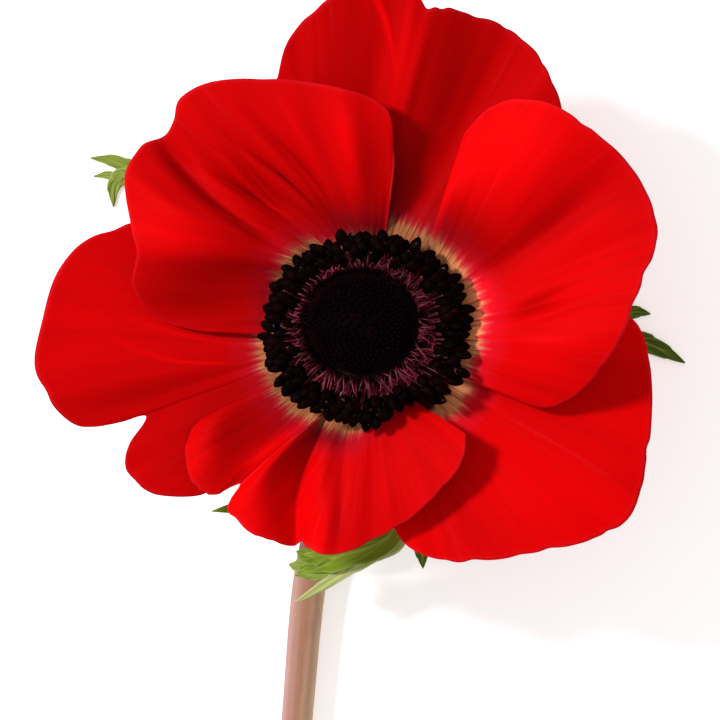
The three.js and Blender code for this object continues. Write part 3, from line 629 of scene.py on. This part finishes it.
def make_petals():
    material = petal_material()
    random = np.random.default_rng(11)
    rim_random = np.random.default_rng(23)
    for number, (name, petal) in enumerate(PETALS.items()):
        folds = petal["folds"] + random_folds(random, petal["pleat"])
        surface = petal_surface(petal, folds, trimmed(rim_random, petal))
        u, v = grid(PETAL_ALONG, PETAL_ACROSS)
        thickness = np.interp(u, [0, 1], PETAL_THICK)
        if petal["claw"][-1] < petal["claw"][0]:
            surface, v = surface[:, ::-1], v[:, ::-1]
        build = Build()
        build.add(*sheet(surface, thickness), **petal_values(petal, number, surface, u, v))
        build.piece("petal_" + name, material, "tepal", "tepal_" + name)


make_petals()


# ---- stamens: a dish on the core, anthers in rows, straight filaments to them and curled ones inside ----
DISH_ROWS = [[0, 2.25], [4.3, 2.25], [7.2, 3.3], [8.3, 4.1], [7.9, 4.5], [6.9, 3.5], [4.6, 3.2], [0, 3.2]]
# Rows of anthers: count, radius, height above the flange, and slope in degrees.
ANTHER_ROWS = [
    [42, 12.1, 5.2, -14], [50, 12.6, 6, -6], [46, 11.7, 6.5, 6], [42, 10.8, 6.9, 20], [22, 9.8, 7.2, 44],
]
ANTHER_LENGTH = 2.4
ANTHER_WIDTH = 1.55
ANTHER_RINGS = 9
ANTHER_SIDES = 12
ANTHER_GIRTH = 0.42  # height of half an anther, as a share of its width
FURROW = {"depth": 0.3, "width": 0.16}
SIZES = (0.85, 1.12)  # range of the random lengths and widths, as shares of the ones above
# How far anthers are from even places at random: a share of their spacing, mm, and degrees (roll: radians).
LOOSE = {"place": 0.3, "radius": 0.45, "up": 0.25, "slope": 14, "turn": 24, "roll": 0.5, "root": 3}
ROOT_AT = (7.6, 4.1)  # radius and height of the straight filaments' roots
FILAMENT_RADII = (0.1625, 0.104)  # at the root and under the anther
FILAMENT_RINGS = 8
FILAMENT_SIDES = 6
# Anthers keep inside a radius where the lower petal's side stands up, and spread further out beside it.
CROWDED = (284, 308, 10.9)
SPREAD = (310, 336, 0.8)
# The curled filaments stand on a circle, of a radius and height, and bend outwards over a top to a tip.
CURLS = 250
CURL_ROOT = (7.2, 3.9)
CURL_TURN = (-12, 12)
CURL_REACH = (8.0, 9.8)
CURL_TOP = (6.0, 7.6)
CURL_DROPS = ((0.1, 0.9), (0.9, 1.6))
CURL_RADIUS = (0.06, 0.12)
CURL_TAPER = 0.7
CURL_RINGS = 12
# The ring and the dome lean with the heavy bloom, which makes them narrower from top to bottom.
SQUASH = np.array([1, 0.93, 1])
RING_SHIFT = np.array([0, -0.15, 0])
DOME_SHIFT = np.array([-0.75, 0.55, 0])
CURLS_SHIFT = 0.9 * DOME_SHIFT
# Pairs of colours, between which each anther and filament has its own.
ANTHER_BLACKS = (0.0012, 0.0002, 0.0003), (0.0038, 0.0004, 0.0006)
# Grey specks on the anthers: painted glints, and pollen.
POLLEN_AND_PAINTED_GLINT = (0.06, 0.05, 0.05)
FILAMENT_FOOT = (0.012, 0.0005, 0.002), (0.04, 0.002, 0.01)
FILAMENT_TIP = (0.07, 0.003, 0.009), (0.42, 0.035, 0.07)


def squashed(points):
    return CENTRE + (points - CENTRE) * SQUASH


def anther_form():
    """One anther of unit length and width along +X: two lobes with furrows between them."""
    t = steps(ANTHER_RINGS - 1)
    angle = round_angles(ANTHER_SIDES)
    girth = np.maximum(np.sin(math.pi * np.clip(t, 0.02, 0.98)), 0) ** 0.55
    furrow = 1 - FURROW["depth"] * bell(np.abs(np.sin(angle)), 1.0, FURROW["width"])
    across = 0.5 * girth[:, None] * furrow * np.cos(angle)
    up = ANTHER_GIRTH * girth[:, None] * furrow * np.sin(angle) - 0.1 * ((2 * t - 1) ** 2)[:, None]
    along = np.broadcast_to((t - 0.5)[:, None], across.shape)
    return np.stack([along, across, up], -1).reshape(-1, 3), loft_faces(ANTHER_RINGS, ANTHER_SIDES)


def loose(random, name):
    return random.uniform(-LOOSE[name], LOOSE[name])


def add_filament(build, random, rows, t, radii, shift, along):
    """A thin tube through rows of points, with its radii at both ends."""
    points = tube(through(rows, t), np.linspace(*radii, len(t)), FILAMENT_SIDES)
    faces = loft_faces(len(t), FILAMENT_SIDES)
    build.add(squashed(points) + shift, faces, tone=random.random(), along=along)


def add_stamen(random, anthers, filaments, form, azimuth, radius, up, slope):
    """An anther, placed and turned a little at random, and the filament that carries it."""
    radius += loose(random, "radius")
    if CROWDED[0] < azimuth < CROWDED[1]:
        radius = min(radius, CROWDED[2] + random.uniform(-0.4, 0.2))
    if SPREAD[0] < azimuth < SPREAD[1]:
        radius += SPREAD[2]
    at = on_bloom(azimuth, radius, up + loose(random, "up"))
    slope = math.radians(slope + loose(random, "slope"))
    along = bloom_way(azimuth + loose(random, "turn"), math.cos(slope), math.sin(slope))
    side = unit(np.cross(AXIS, along))
    roll = loose(random, "roll") + np.array([0, math.pi / 2])
    side, over = circle(roll, side, np.cross(along, side))
    length = ANTHER_LENGTH * random.uniform(*SIZES)
    width = ANTHER_WIDTH * random.uniform(*SIZES)
    points, faces = form
    points = at + points @ np.array([length * along, width * side, width * over])
    anthers.add(squashed(points) + RING_SHIFT, faces, tone=random.random())

    base = at - 0.42 * length * along
    root = on_bloom(azimuth + loose(random, "root"), *ROOT_AT)
    rows = [root - 0.3 * AXIS, root, (root + base) / 2 + 0.35 * AXIS, base]
    t = np.linspace(0.2, 1, FILAMENT_RINGS)
    add_filament(filaments, random, rows, t, FILAMENT_RADII, RING_SHIFT, 0.5)


def add_curl(random, filaments):
    azimuth, turn = random.uniform(0, 360), random.uniform(*CURL_TURN)
    reach = random.uniform(*CURL_REACH) - min(math.sin(math.radians(azimuth)), 0)
    top = random.uniform(*CURL_TOP)
    foot, low = CURL_ROOT
    # Rows: share of the turn, radius and height.
    rows = [[0, foot, low], [0.2, foot + 0.2, 0.5 * (top + low + 0.5)], [0.7, 0.5 * (foot + reach), top]]
    rows.append([1, reach, top - random.uniform(*CURL_DROPS[0])])
    rows.append([1.3, reach + random.uniform(-0.4, 0.4), top - random.uniform(*CURL_DROPS[1])])
    shares, radii, heights = np.array(rows).T
    rows = on_bloom(azimuth + shares * turn, radii, heights)
    t = steps(CURL_RINGS - 1)
    radius = random.uniform(*CURL_RADIUS)
    radii = (radius, CURL_TAPER * radius)
    add_filament(filaments, random, rows, t, radii, CURLS_SHIFT, np.repeat(t, FILAMENT_SIDES))


def anther_material():
    shader = Shader("anther", Roughness=0.5, Specular_IOR_Level=0.012)
    position = shader.add("TexCoord").outputs["Object"]
    colour = shader.mix(shader.attribute("tone"), *ANTHER_BLACKS)
    # Painted glints and pollen: a few grey specks where the noise is high.
    colour = shader.tint(colour, POLLEN_AND_PAINTED_GLINT, shader.noise(position, 1500, 1.0), 0.73, 0.79)
    return shader.finish(colour, shader.bump(shader.noise(position, 2600, 2.0), 0.00012, 0.7))


def filament_material():
    shader = Shader("filament", Roughness=0.45, Specular_IOR_Level=0.25)
    foot = shader.mix(shader.attribute("tone"), *FILAMENT_FOOT)
    tip = shader.mix(shader.attribute("tone"), *FILAMENT_TIP)
    return shader.finish(shader.mix(shader.mapped(shader.attribute("along"), 0.35, 0.8), foot, tip))


def make_stamens():
    random = np.random.default_rng(5)
    form = anther_form()
    anthers, filaments = Build(), Build()
    filaments.add(*lathe(DISH_ROWS, 40, 64), tone=0.0, along=0.0)
    for row, (count, radius, up, slope) in enumerate(ANTHER_ROWS):
        for i in range(count):
            azimuth = (i + 0.5 * (row % 2) + loose(random, "place")) / count * 360
            add_stamen(random, anthers, filaments, form, azimuth, radius, up, slope)
    for _ in range(CURLS):
        add_curl(random, filaments)
    anthers.piece("anthers", anther_material(), "stamen", "stamens")
    filaments.piece("filaments", filament_material(), "stamen", "stamens")


make_stamens()


# ---- carpels: a low dome covered by small pointed carpels in spirals ----
DOME_SIDE = [[6.0, 4.7], [6.35, 5.9], [6.0, 7.2], [4.8, 8.4], [2.7, 9.2], [0, 9.5]]  # has the carpels
DOME_ROWS = [[0, 3.7], [4.6, 3.7], *DOME_SIDE]
CARPELS = 820
GOLDEN_ANGLE = 137.50776
CARPEL_LENGTH = 0.6
CARPEL_PROFILE = [[-0.3, 0.3], [0.3, 0.26], [0.65, 0.16], [0.9, 0.08], [1.0, 0.03]]  # along, radius
CARPEL_SIDES = 6
CARPEL_SPREAD = 0.14  # of their directions at random
CARPEL_SIZES = (0.8, 1.25)
CARPEL_BLACKS = (0.001, 0.0002, 0.0004), (0.0045, 0.0006, 0.0014)
CARPEL_PURPLE = (0.008, 0.0008, 0.002)


def carpel_material():
    shader = Shader("carpel", Roughness=0.7, Specular_IOR_Level=0.012)
    position = shader.add("TexCoord").outputs["Object"]
    colour = shader.mix(shader.attribute("along"), *CARPEL_BLACKS)
    colour = shader.tint(colour, CARPEL_PURPLE, shader.noise(position, 300), 0.5, 0.75, 0.6)
    return shader.finish(colour, shader.bump(shader.noise(position, 4200, 2.0), 0.0001, 0.6))


def make_carpels():
    random = np.random.default_rng(3)
    build = Build()
    dome, dome_faces = lathe(DOME_ROWS, 44, 72)
    build.add(squashed(dome) + DOME_SHIFT, dome_faces, along=0.0)
    angles = round_angles(CARPEL_SIDES)
    faces = loft_faces(len(CARPEL_PROFILE), CARPEL_SIDES)
    along_each = np.repeat([along for along, _ in CARPEL_PROFILE], CARPEL_SIDES)
    for i in range(CARPELS):
        t = math.sqrt((i + 0.5) / CARPELS)
        azimuth = i * GOLDEN_ANGLE
        (radius, up), (radius_on, up_on) = through(DOME_SIDE, [1 - t, max(1 - t - 0.01, 0)])
        at = on_bloom(azimuth, radius, up)
        tangent = unit(on_bloom(azimuth, radius_on, up_on) - at)
        around = unit(np.cross(AXIS, bloom_way(azimuth, 1.0, 0.0)))
        out = unit(np.cross(around, tangent))
        out = out if out @ (at - on_bloom(0, 0, 4.0)) > 0 else -out
        out = unit(out + random.normal(0, CARPEL_SPREAD, 3))
        length = CARPEL_LENGTH * random.uniform(*CARPEL_SIZES)
        ring = circle(angles, around, unit(np.cross(out, around)))
        points = np.concatenate([at + along * length * out + wide * ring for along, wide in CARPEL_PROFILE])
        build.add(squashed(points) + DOME_SHIFT, faces, along=along_each)
    build.piece("carpels", carpel_material(), "carpel", "carpel_head")


make_carpels()


# ---- stem: a ribbed stalk along the surface, the neck, and the receptacle ----
# Rows are x, y and radius. The stalk's underside is on the surface.
STALK_ROWS = [
    [-13.2, -134, 2.2], [-12.9, -112, 2.15], [-11.9, -90, 2.1],
    [-10.5, -68, 2.05], [-9.0, -51, 2.05], [-7.6, -35, 2.2],
]
# Rows of the neck are x, y, z and radius, up to the receptacle.
NECK_ROWS = [
    [-6.0, -26.5, 2.3, 2.25], [-4.5, -19.6, 2.7, 2.25], [-2.2, -12.6, 4.2, 2.3],
    [0.1, -6.4, 7.2, 2.35], [1.4, -2.4, 11.0, NECK_RADIUS],
]
# The receptacle widens along the bloom's axis: height from the flange, and radius.
RECEPTACLE_ROWS = [[-7.4, NECK_RADIUS], [-4, NECK_RADIUS], [-2, 3.4], [-0.7, 5.3], [0, FLANGE_RADIUS]]
RECEPTACLE_RINGS = 15
EDGE_STEP = 0.1  # from a sharp edge of the shoulder to the ring that holds it
CUT_SLANT = 0.7
CUT_HOLLOW = ((0.3, 0.5), (0.75, 0.35))  # share of the cut's radius, and depth
STEM_SIDES = 48
STEM_RINGS = 220
RIBS = 11
RIB_HEIGHT = 0.025
RIB_FADE = 30  # rings below the receptacle
# From the shaded side to the lit one.
STALK_STOPS = [
    (0.0, (0.56, 0.38, 0.24)), (0.3, (0.44, 0.25, 0.16)),
    (0.6, (0.32, 0.145, 0.09)), (1.0, (0.4, 0.24, 0.22)),
]
STALK_MOTTLE = (0.32, 0.14, 0.1)
NECK_GREEN = (0.2, 0.2, 0.06)
NECK_FROM = (-12.0, 6.0)  # y where the stalk begins to turn green, and where it would end
CUT_PALE = (0.55, 0.5, 0.3)


def stem_material():
    shader = Shader("stalk", Roughness=0.6, Specular_IOR_Level=0.12)
    grain = shader.attribute("grain", "Vector")  # the skin's direction to the lit side and up, and y
    lit, _, y = shader.parts(grain)
    streaks = shader.noise(grain, (3, 3, 0.04))
    mottle = shader.noise(grain, (2, 2, 0.35))
    around = shader.maths("ADD", lit, shader.mapped(streaks, 0.3, 0.7, -0.14, 0.14))
    colour = shader.ramp(shader.mapped(around, -1.0, 1.0), *STALK_STOPS)
    colour = shader.tint(colour, STALK_MOTTLE, mottle, 0.45, 0.75, 0.3)
    colour = shader.tint(colour, NECK_GREEN, y, *NECK_FROM, 0.75)
    colour = shader.mix(shader.attribute("cut"), colour, CUT_PALE)
    return shader.finish(colour, shader.bump(streaks, 0.0003, 0.5), 0.05)


def stem_rows():
    """Rows of x, y, z and radius for the rings, from the cut end to the top of the core."""
    lying = [[x, y, radius, radius] for x, y, radius in STALK_ROWS]
    upright = [[*on_bloom(0, 0, up), radius] for up, radius in RECEPTACLE_ROWS[:2]]
    stalk = through([*lying, *NECK_ROWS, *upright], steps(STEM_RINGS - 1))
    # The receptacle's rings follow the bloom's axis. Its flat shoulder keeps its sharp edges.
    wide = through(RECEPTACLE_ROWS[1:], steps(RECEPTACLE_RINGS))[1:]
    bevel = 2 * EDGE_STEP
    core = [[0, CORE_RADIUS + EDGE_STEP], [0, CORE_RADIUS]]
    core += [[CORE_TOP - bevel, CORE_RADIUS], [CORE_TOP, CORE_RADIUS - bevel]]
    return np.vstack([stalk, [[*on_bloom(0, 0, up), radius] for up, radius in [*wide, *core]]])


def make_stem():
    rows = stem_rows()
    path, radius = rows[:, :3], rows[:, 3:]
    angles = round_angles(STEM_SIDES)
    fade = smooth((STEM_RINGS - np.arange(len(rows))) / RIB_FADE)[:, None]
    ribs = RIB_HEIGHT * (np.cos(RIBS * angles) - 1) * fade
    tangents = unit(np.gradient(path, axis=0))
    tangents[STEM_RINGS:] = AXIS
    ways = ways_out(tangents, angles)
    points = path[:, None] + (radius + ribs)[..., None] * ways
    points[0, :, 1] += CUT_SLANT * points[0, :, 2]
    lit = np.stack([-ways[..., 0], ways[..., 2], np.broadcast_to(path[:, 1:2], ribs.shape)], -1)
    # The cut end is a shallow hollow, pale inside.
    middle = points[0].mean(axis=0)
    inner = [middle + share * (points[0] - middle) + [0, depth, 0] for share, depth in CUT_HOLLOW]
    points = np.concatenate([inner, points])
    lit = np.concatenate([lit[:1], lit[:1], lit])
    cut = np.repeat([1.0, 0.0], [len(inner) * STEM_SIDES, len(rows) * STEM_SIDES])
    build = Build()
    build.add(points, loft_faces(len(points), STEM_SIDES), grain=lit.reshape(-1, 3), cut=cut)
    build.piece("stem_skin", stem_material(), "stem", "stem")


make_stem()


# ---- bracts: each a leaf cut into toothed lobes, on a sheath that clasps the neck ----
# foot: azimuth of the sheath's middle. toothed: the lobes with a tooth at each side. A lobe is its width, its
# tone from dark green (0) to pale yellow-green (1), and the points of its midrib. The tones are partly the
# leaf's own colour and partly painted shade: lower on the right bract, which lies in the bloom's shadow.
BRACT_THICK = 0.62  # of the solids, whose undersides lie on the surface
FLAT = BRACT_THICK / 2
BRACTS = {
    "bract_left": dict(
        foot=149, toothed=[4, 7, 10],
        lobes=[
            [5.6, 0.5, [-8, 4.4, 12.6], [-17, 9.8, 6.8], [-26, 15.4, 1.9], [-30, 18.2, FLAT]],
            [2.4, 0.75, [-22, 13, 4], [-28.6, 19.2, FLAT], [-32.4, 21.6, FLAT], [-36, 22.2, FLAT]],
            [1.5, 0.8, [-26, 15.4, 1.9], [-30.6, 18.8, FLAT], [-33.4, 19.9, FLAT], [-35.6, 19.8, FLAT]],
            [2.6, 0.75, [-23, 13.6, 3.4], [-30.4, 19.4, FLAT], [-32.8, 18.8, FLAT], [-33, 15.8, FLAT]],
            [4, 0.5, [-9, 5, 12], [-14, 12, 9], [-19.6, 17.2, 5.8], [-22.6, 21.8, 3.8]],
            [2.8, 0.6, [-14, 12, 9], [-15.4, 17, 7.8], [-14.8, 21.6, 6.6]],
            [2.4, 0.6, [-17.6, 15.6, 6.8], [-23, 17.6, 4.8], [-27.4, 17.6, 3.8]],
            [4, 0.5, [-9, 5, 12], [-17.6, 6.8, 8], [-24.6, 3.8, 5.2], [-28.4, 3.2, 3.8]],
            [2.8, 0.5, [-15, 6.4, 9.2], [-19.6, 2.8, 7], [-20.2, -1.6, 5.8]],
            [2.4, 0.5, [-21.6, 5.2, 6.2], [-26.4, 8, 4.4], [-29.4, 8.6, 3.4]],
            [2.8, 0.6, [-17, 10, 6.8], [-23.6, 10.2, 4.6], [-28.6, 11.8, 2.2]],
        ],
    ),
    "bract_right": dict(
        foot=4, toothed=[4, 7, 8],
        lobes=[
            [5.6, 0.3, [13, -1.4, 12.2], [22, -1.8, 6.8], [31, -1.6, 1.4], [35, -1.8, FLAT]],
            [3, 0.25, [28, -1.5, 2.8], [34, -1.4, FLAT], [38, -2.6, FLAT], [41.7, -4.6, FLAT]],
            [2.4, 0.35, [25, -1.8, 4.8], [31, 0.6, 0.9], [34.8, 2, FLAT], [37.2, 1.8, FLAT]],
            [2.6, 0.3, [25, -1.8, 4.8], [30.6, -4.8, 1.3], [33.6, -9, FLAT], [34.2, -13, FLAT]],
            [4, 0.4, [12, -1.4, 12.6], [18.6, 3.2, 9.8], [25, 6.8, 6.8], [29.4, 11.2, 5.2]],
            [2.8, 0.4, [18.6, 3.2, 9.8], [21, 8.2, 8.4], [20.6, 13, 7.6]],
            [2.4, 0.4, [23, 5.6, 7.8], [28, 5.4, 5.8], [31.4, 6.6, 4.8]],
            [4, 0.3, [12, -1.5, 12.6], [19, -5.8, 9.4], [24.6, -10.4, 6.6], [26.6, -15.8, 5.2]],
            [2.8, 0.3, [19, -5.8, 9.4], [19.6, -10.8, 7.8], [16.8, -15, 7.2]],
            [2.4, 0.3, [23, -9, 7.4], [27.6, -9.2, 5.4], [31, -10.4, 4.2]],
        ],
    ),
    "bract_lower": dict(
        foot=-82, toothed=[5, 8],
        lobes=[
            [5.6, 0.3, [3.4, -12, 14], [4.4, -19, 12.6], [4.6, -26, 11.4]],
            [4, 0.7, [4, -17, 13], [3.4, -26.4, 11.8], [-3.4, -29.6, 10.6],
             [-7.6, -30.5, 9.6], [-9.6, -30.8, 9.2]],
            [2.2, 1, [4.8, -22, 12], [4.4, -27.6, 11], [1.4, -29.2, 10.7],
             [-1.8, -31, 10.2], [-6.2, -33.8, 9.8], [-9.2, -35.6, 9.6]],
            [2.8, 0.2, [4.2, -18, 12.8], [6.6, -25.4, 11.2], [7.2, -28.6, 9.8], [7.4, -31.2, 8.6]],
            [2.4, 0.3, [4.3, -19, 12.6], [9.2, -24, 11.2], [11.8, -27, 9.8]],
            [4.8, 0.6, [3, -9, 14.6], [-0.8, -18.2, 13.6], [-6.4, -21.6, 12.6],
             [-12.4, -22.6, 12], [-19.9, -23.8, 10]],
            [2.6, 0.5, [-2, -19.4, 13.3], [-6, -25, 12], [-11, -27.4, 11.2]],
            [2.2, 0.5, [-9.6, -22.3, 12], [-14.6, -20.4, 11.6], [-17.4, -17.2, 11.4]],
            [4, 0.4, [3.2, -10, 14.4], [8, -18, 13.8], [12.6, -20.8, 13], [15.4, -24.6, 12.2]],
            [2.6, 0.4, [9, -18.6, 13.6], [14, -18.2, 13.2], [17.8, -19, 12.6]],
            [2.6, 0.65, [-3.4, -29.4, 10.5], [-7, -29.6, 9.9], [-9, -29, 9.5]],
            [2.4, 0.75, [-2.4, -30.6, 10.2], [-6.4, -31.6, 9.7], [-9.2, -32.1, 9.4]],
            [1.8, 0.8, [-6, -30.4, 9.8], [-8.6, -30.9, 9.4], [-10, -30.7, 9.2]],
        ],
    ),
}
LEAF_THICK = 0.4
LEAF_EDGE = 0.4  # share of the thickness that is lost towards the edges
LEAF_STEPS = 28
LEAF_ACROSS = 8
LEAF_FOLD = 0.2  # rise of the edges, as a share of the half width
LOBE_TIP = 0.14
LOBE_ROOT = 0.62
LOBE_TEETH = 5
TOOTH_DEPTH = 0.16
SIDE_TOOTH = {"at": 0.42, "reach": 0.3, "spread": 36, "width": 1.9, "teeth": 2}
SHEATH_RADIUS = NECK_RADIUS + GAP + BRACT_THICK / 2
SHEATH_THICK = 0.5
# From the darkest tone to the palest.
LEAF_STOPS = [
    (0.0, (0.03, 0.075, 0.007)), (0.4, (0.09, 0.17, 0.01)),
    (0.7, (0.18, 0.28, 0.012)), (1.0, (0.55, 0.62, 0.24)),
]
LEAF_DARK = (0.05, 0.1, 0.012)
LEAF_VEIN = (0.34, 0.42, 0.06)
LEAF_MIDRIB = (0.34, 0.4, 0.07)
LEAF_RIM = (0.46, 0.52, 0.17)


def add_leaf(build, width, tone, points, teeth):
    """A lobe about a midrib: pointed, folded up a little to both sides, and cut into teeth."""
    t = steps(LEAF_STEPS)
    path = through(points, t)
    path[:, 2] = np.maximum(path[:, 2], FLAT) - (BRACT_THICK - LEAF_THICK) / 2
    full = np.maximum(np.sin(math.pi * t**0.8), 0) ** 0.8
    notched = 1 - TOOTH_DEPTH * (1 - (teeth * t) % 1) * smooth(3 * t)
    wide = np.maximum(width * notched * np.maximum(full, LOBE_ROOT * (1 - t)), LOBE_TIP)
    along = unit(np.gradient(path, axis=0))
    side = unit(np.cross(along, [0, 0, 1]))
    up = np.cross(side, along)
    across = np.linspace(-1, 1, LEAF_ACROSS + 1)
    out = across[:, None] * side[:, None] + LEAF_FOLD * np.abs(across)[:, None] * up[:, None]
    surface = path[:, None] + wide[:, None, None] / 2 * out
    leaf, faces = sheet(surface, LEAF_THICK * (1 - LEAF_EDGE * np.abs(across)))
    across, t = (a.ravel() for a in np.meshgrid(across, t))
    grain = np.stack([across, t * width, 0 * t + build.count * 0.01], -1)
    build.add(leaf, faces, grain=np.concatenate([grain, grain]), tone=tone)


def tooth_points(points, side):
    """The midrib of a side tooth, which leaves a lobe's midrib at an angle."""
    root = through(points, SIDE_TOOTH["at"])[0]
    reach = np.array(points[-1]) - root
    turn = side * math.radians(SIDE_TOOTH["spread"])
    cos, sin = math.cos(turn), math.sin(turn)
    out = np.array([cos * reach[0] - sin * reach[1], sin * reach[0] + cos * reach[1], reach[2]])
    middle = root + SIDE_TOOTH["reach"] * out
    return [root, middle, middle + 0.7 * SIDE_TOOTH["reach"] * reach]


def leaf_material():
    shader = Shader("leaf", Roughness=0.6, Specular_IOR_Level=0.1)
    grain = shader.attribute("grain", "Vector")
    across, along, _ = shader.parts(grain)
    away = shader.maths("ABSOLUTE", across)
    mottle = shader.noise(grain, (2.5, 1.2, 1))
    slanted = shader.maths("SUBTRACT", shader.maths("MULTIPLY", along, 1.1), away)
    wave = shader.maths("SINE", shader.maths("MULTIPLY", slanted, math.tau))
    colour = shader.ramp(shader.attribute("tone"), *LEAF_STOPS)
    colour = shader.tint(colour, LEAF_DARK, mottle, 0.4, 0.75, 0.6)
    colour = shader.tint(colour, LEAF_VEIN, wave, 0.8, 1.0, 0.35)
    colour = shader.tint(colour, LEAF_MIDRIB, away, 0.16, 0.04, 0.6)
    colour = shader.tint(colour, LEAF_RIM, away, 0.86, 1.0, 0.55)
    normal = shader.bump(wave, 0.00008, 0.5, shader.bump(mottle, 0.0002, 0.6))
    return shader.finish(colour, normal, 0.15)


def add_sheath(build, foot):
    """A band about the neck, narrower and closer to its sides, which clasps the neck there."""
    u, v = grid(18, 6)
    side = np.abs(2 * u - 1) ** 3
    up = SHEATH_FOOT + SHEATH_HEIGHT * (0.5 + (v - 0.5) * (1 - 0.7 * side))
    surface = on_bloom(foot + (0.5 - u) * SHEATH_SPAN, SHEATH_RADIUS - 0.2 * side, up)
    points, faces = sheet(surface, SHEATH_THICK * (1 - 0.5 * side))
    grain = np.stack([0.5 + 0 * u, v, u], -1).reshape(-1, 3)
    build.add(points, faces, grain=np.concatenate([grain, grain]), tone=0.5)


def make_bracts():
    material = leaf_material()
    for name, bract in BRACTS.items():
        build = Build()
        add_sheath(build, bract["foot"])
        seat = on_bloom(bract["foot"], SHEATH_RADIUS + 0.1, SHEATH_FOOT + SHEATH_HEIGHT / 2)
        for i, (width, tone, *points) in enumerate(bract["lobes"]):
            points = [seat, *points] if i == 0 else points
            add_leaf(build, width, tone, points, LOBE_TEETH)
            for side in (1, -1) if i in bract["toothed"] else ():
                tooth = tooth_points(points, side)
                add_leaf(build, SIDE_TOOTH["width"], tone, tooth, SIDE_TOOTH["teeth"])
        build.piece(name + "_leaf", material, "bract", name)


make_bracts()


# ---- camera, light and floor ----
FLOOR_HALF = 3.0  # m
FLOOR_WHITE = (0.92, 0.92, 0.92, 1.0)
KEY = {"azimuth": 155.0, "elevation": 40.0, "distance": 1.2, "size": 0.2, "power": 16.0}  # degrees, m, W
FLOOR_GLOW = 0.45  # so that the shadow stays faint
FILL_STRENGTH = 0.66


def make_stage():
    camera = in_scene("camera", bpy.data.cameras.new("camera"))
    camera.data.sensor_width = SENSOR
    camera.data.lens = SENSOR * CAMERA_HEIGHT / (IMAGE_SIZE * MM_PER_PIXEL)
    camera.data.clip_end = 10.0
    x = (IMAGE_SIZE / 2 - BLOOM_PIXEL[0]) * MM_PER_PIXEL
    y = (BLOOM_PIXEL[1] - IMAGE_SIZE / 2) * MM_PER_PIXEL
    camera.location = placed([x, y, BLOOM_HEIGHT + CAMERA_HEIGHT])
    bpy.context.scene.camera = camera

    mesh = bpy.data.meshes.new("floor")
    corners = [(-1, -1), (1, -1), (1, 1), (-1, 1)]
    mesh.from_pydata([(FLOOR_HALF * a, FLOOR_HALF * b, 0) for a, b in corners], [], [(0, 1, 2, 3)])
    glow = {"Emission_Color": FLOOR_WHITE, "Emission_Strength": FLOOR_GLOW}
    white = Shader("floor_white", Roughness=0.9, Specular_IOR_Level=0.1, Base_Color=FLOOR_WHITE, **glow)
    mesh.materials.append(white.material)
    in_scene("floor", mesh)

    light = bpy.data.lights.new("key", "AREA")
    light.shape = "DISK"
    light.size = KEY["size"]
    light.energy = KEY["power"]
    key = in_scene("key", light)
    way = Vector(direction(KEY["azimuth"], KEY["elevation"]))
    key.location = Vector(placed([0, 0, BLOOM_HEIGHT])) + KEY["distance"] * way
    key.rotation_euler = way.to_track_quat("Z", "Y").to_euler()

    world = bpy.data.worlds.new("studio")
    world.use_nodes = True
    background = world.node_tree.nodes["Background"]
    background.inputs["Color"].default_value = (1.0, 1.0, 1.0, 1.0)
    background.inputs["Strength"].default_value = FILL_STRENGTH
    bpy.context.scene.world = world
    bpy.context.scene.view_settings.view_transform = "Standard"


make_stage()
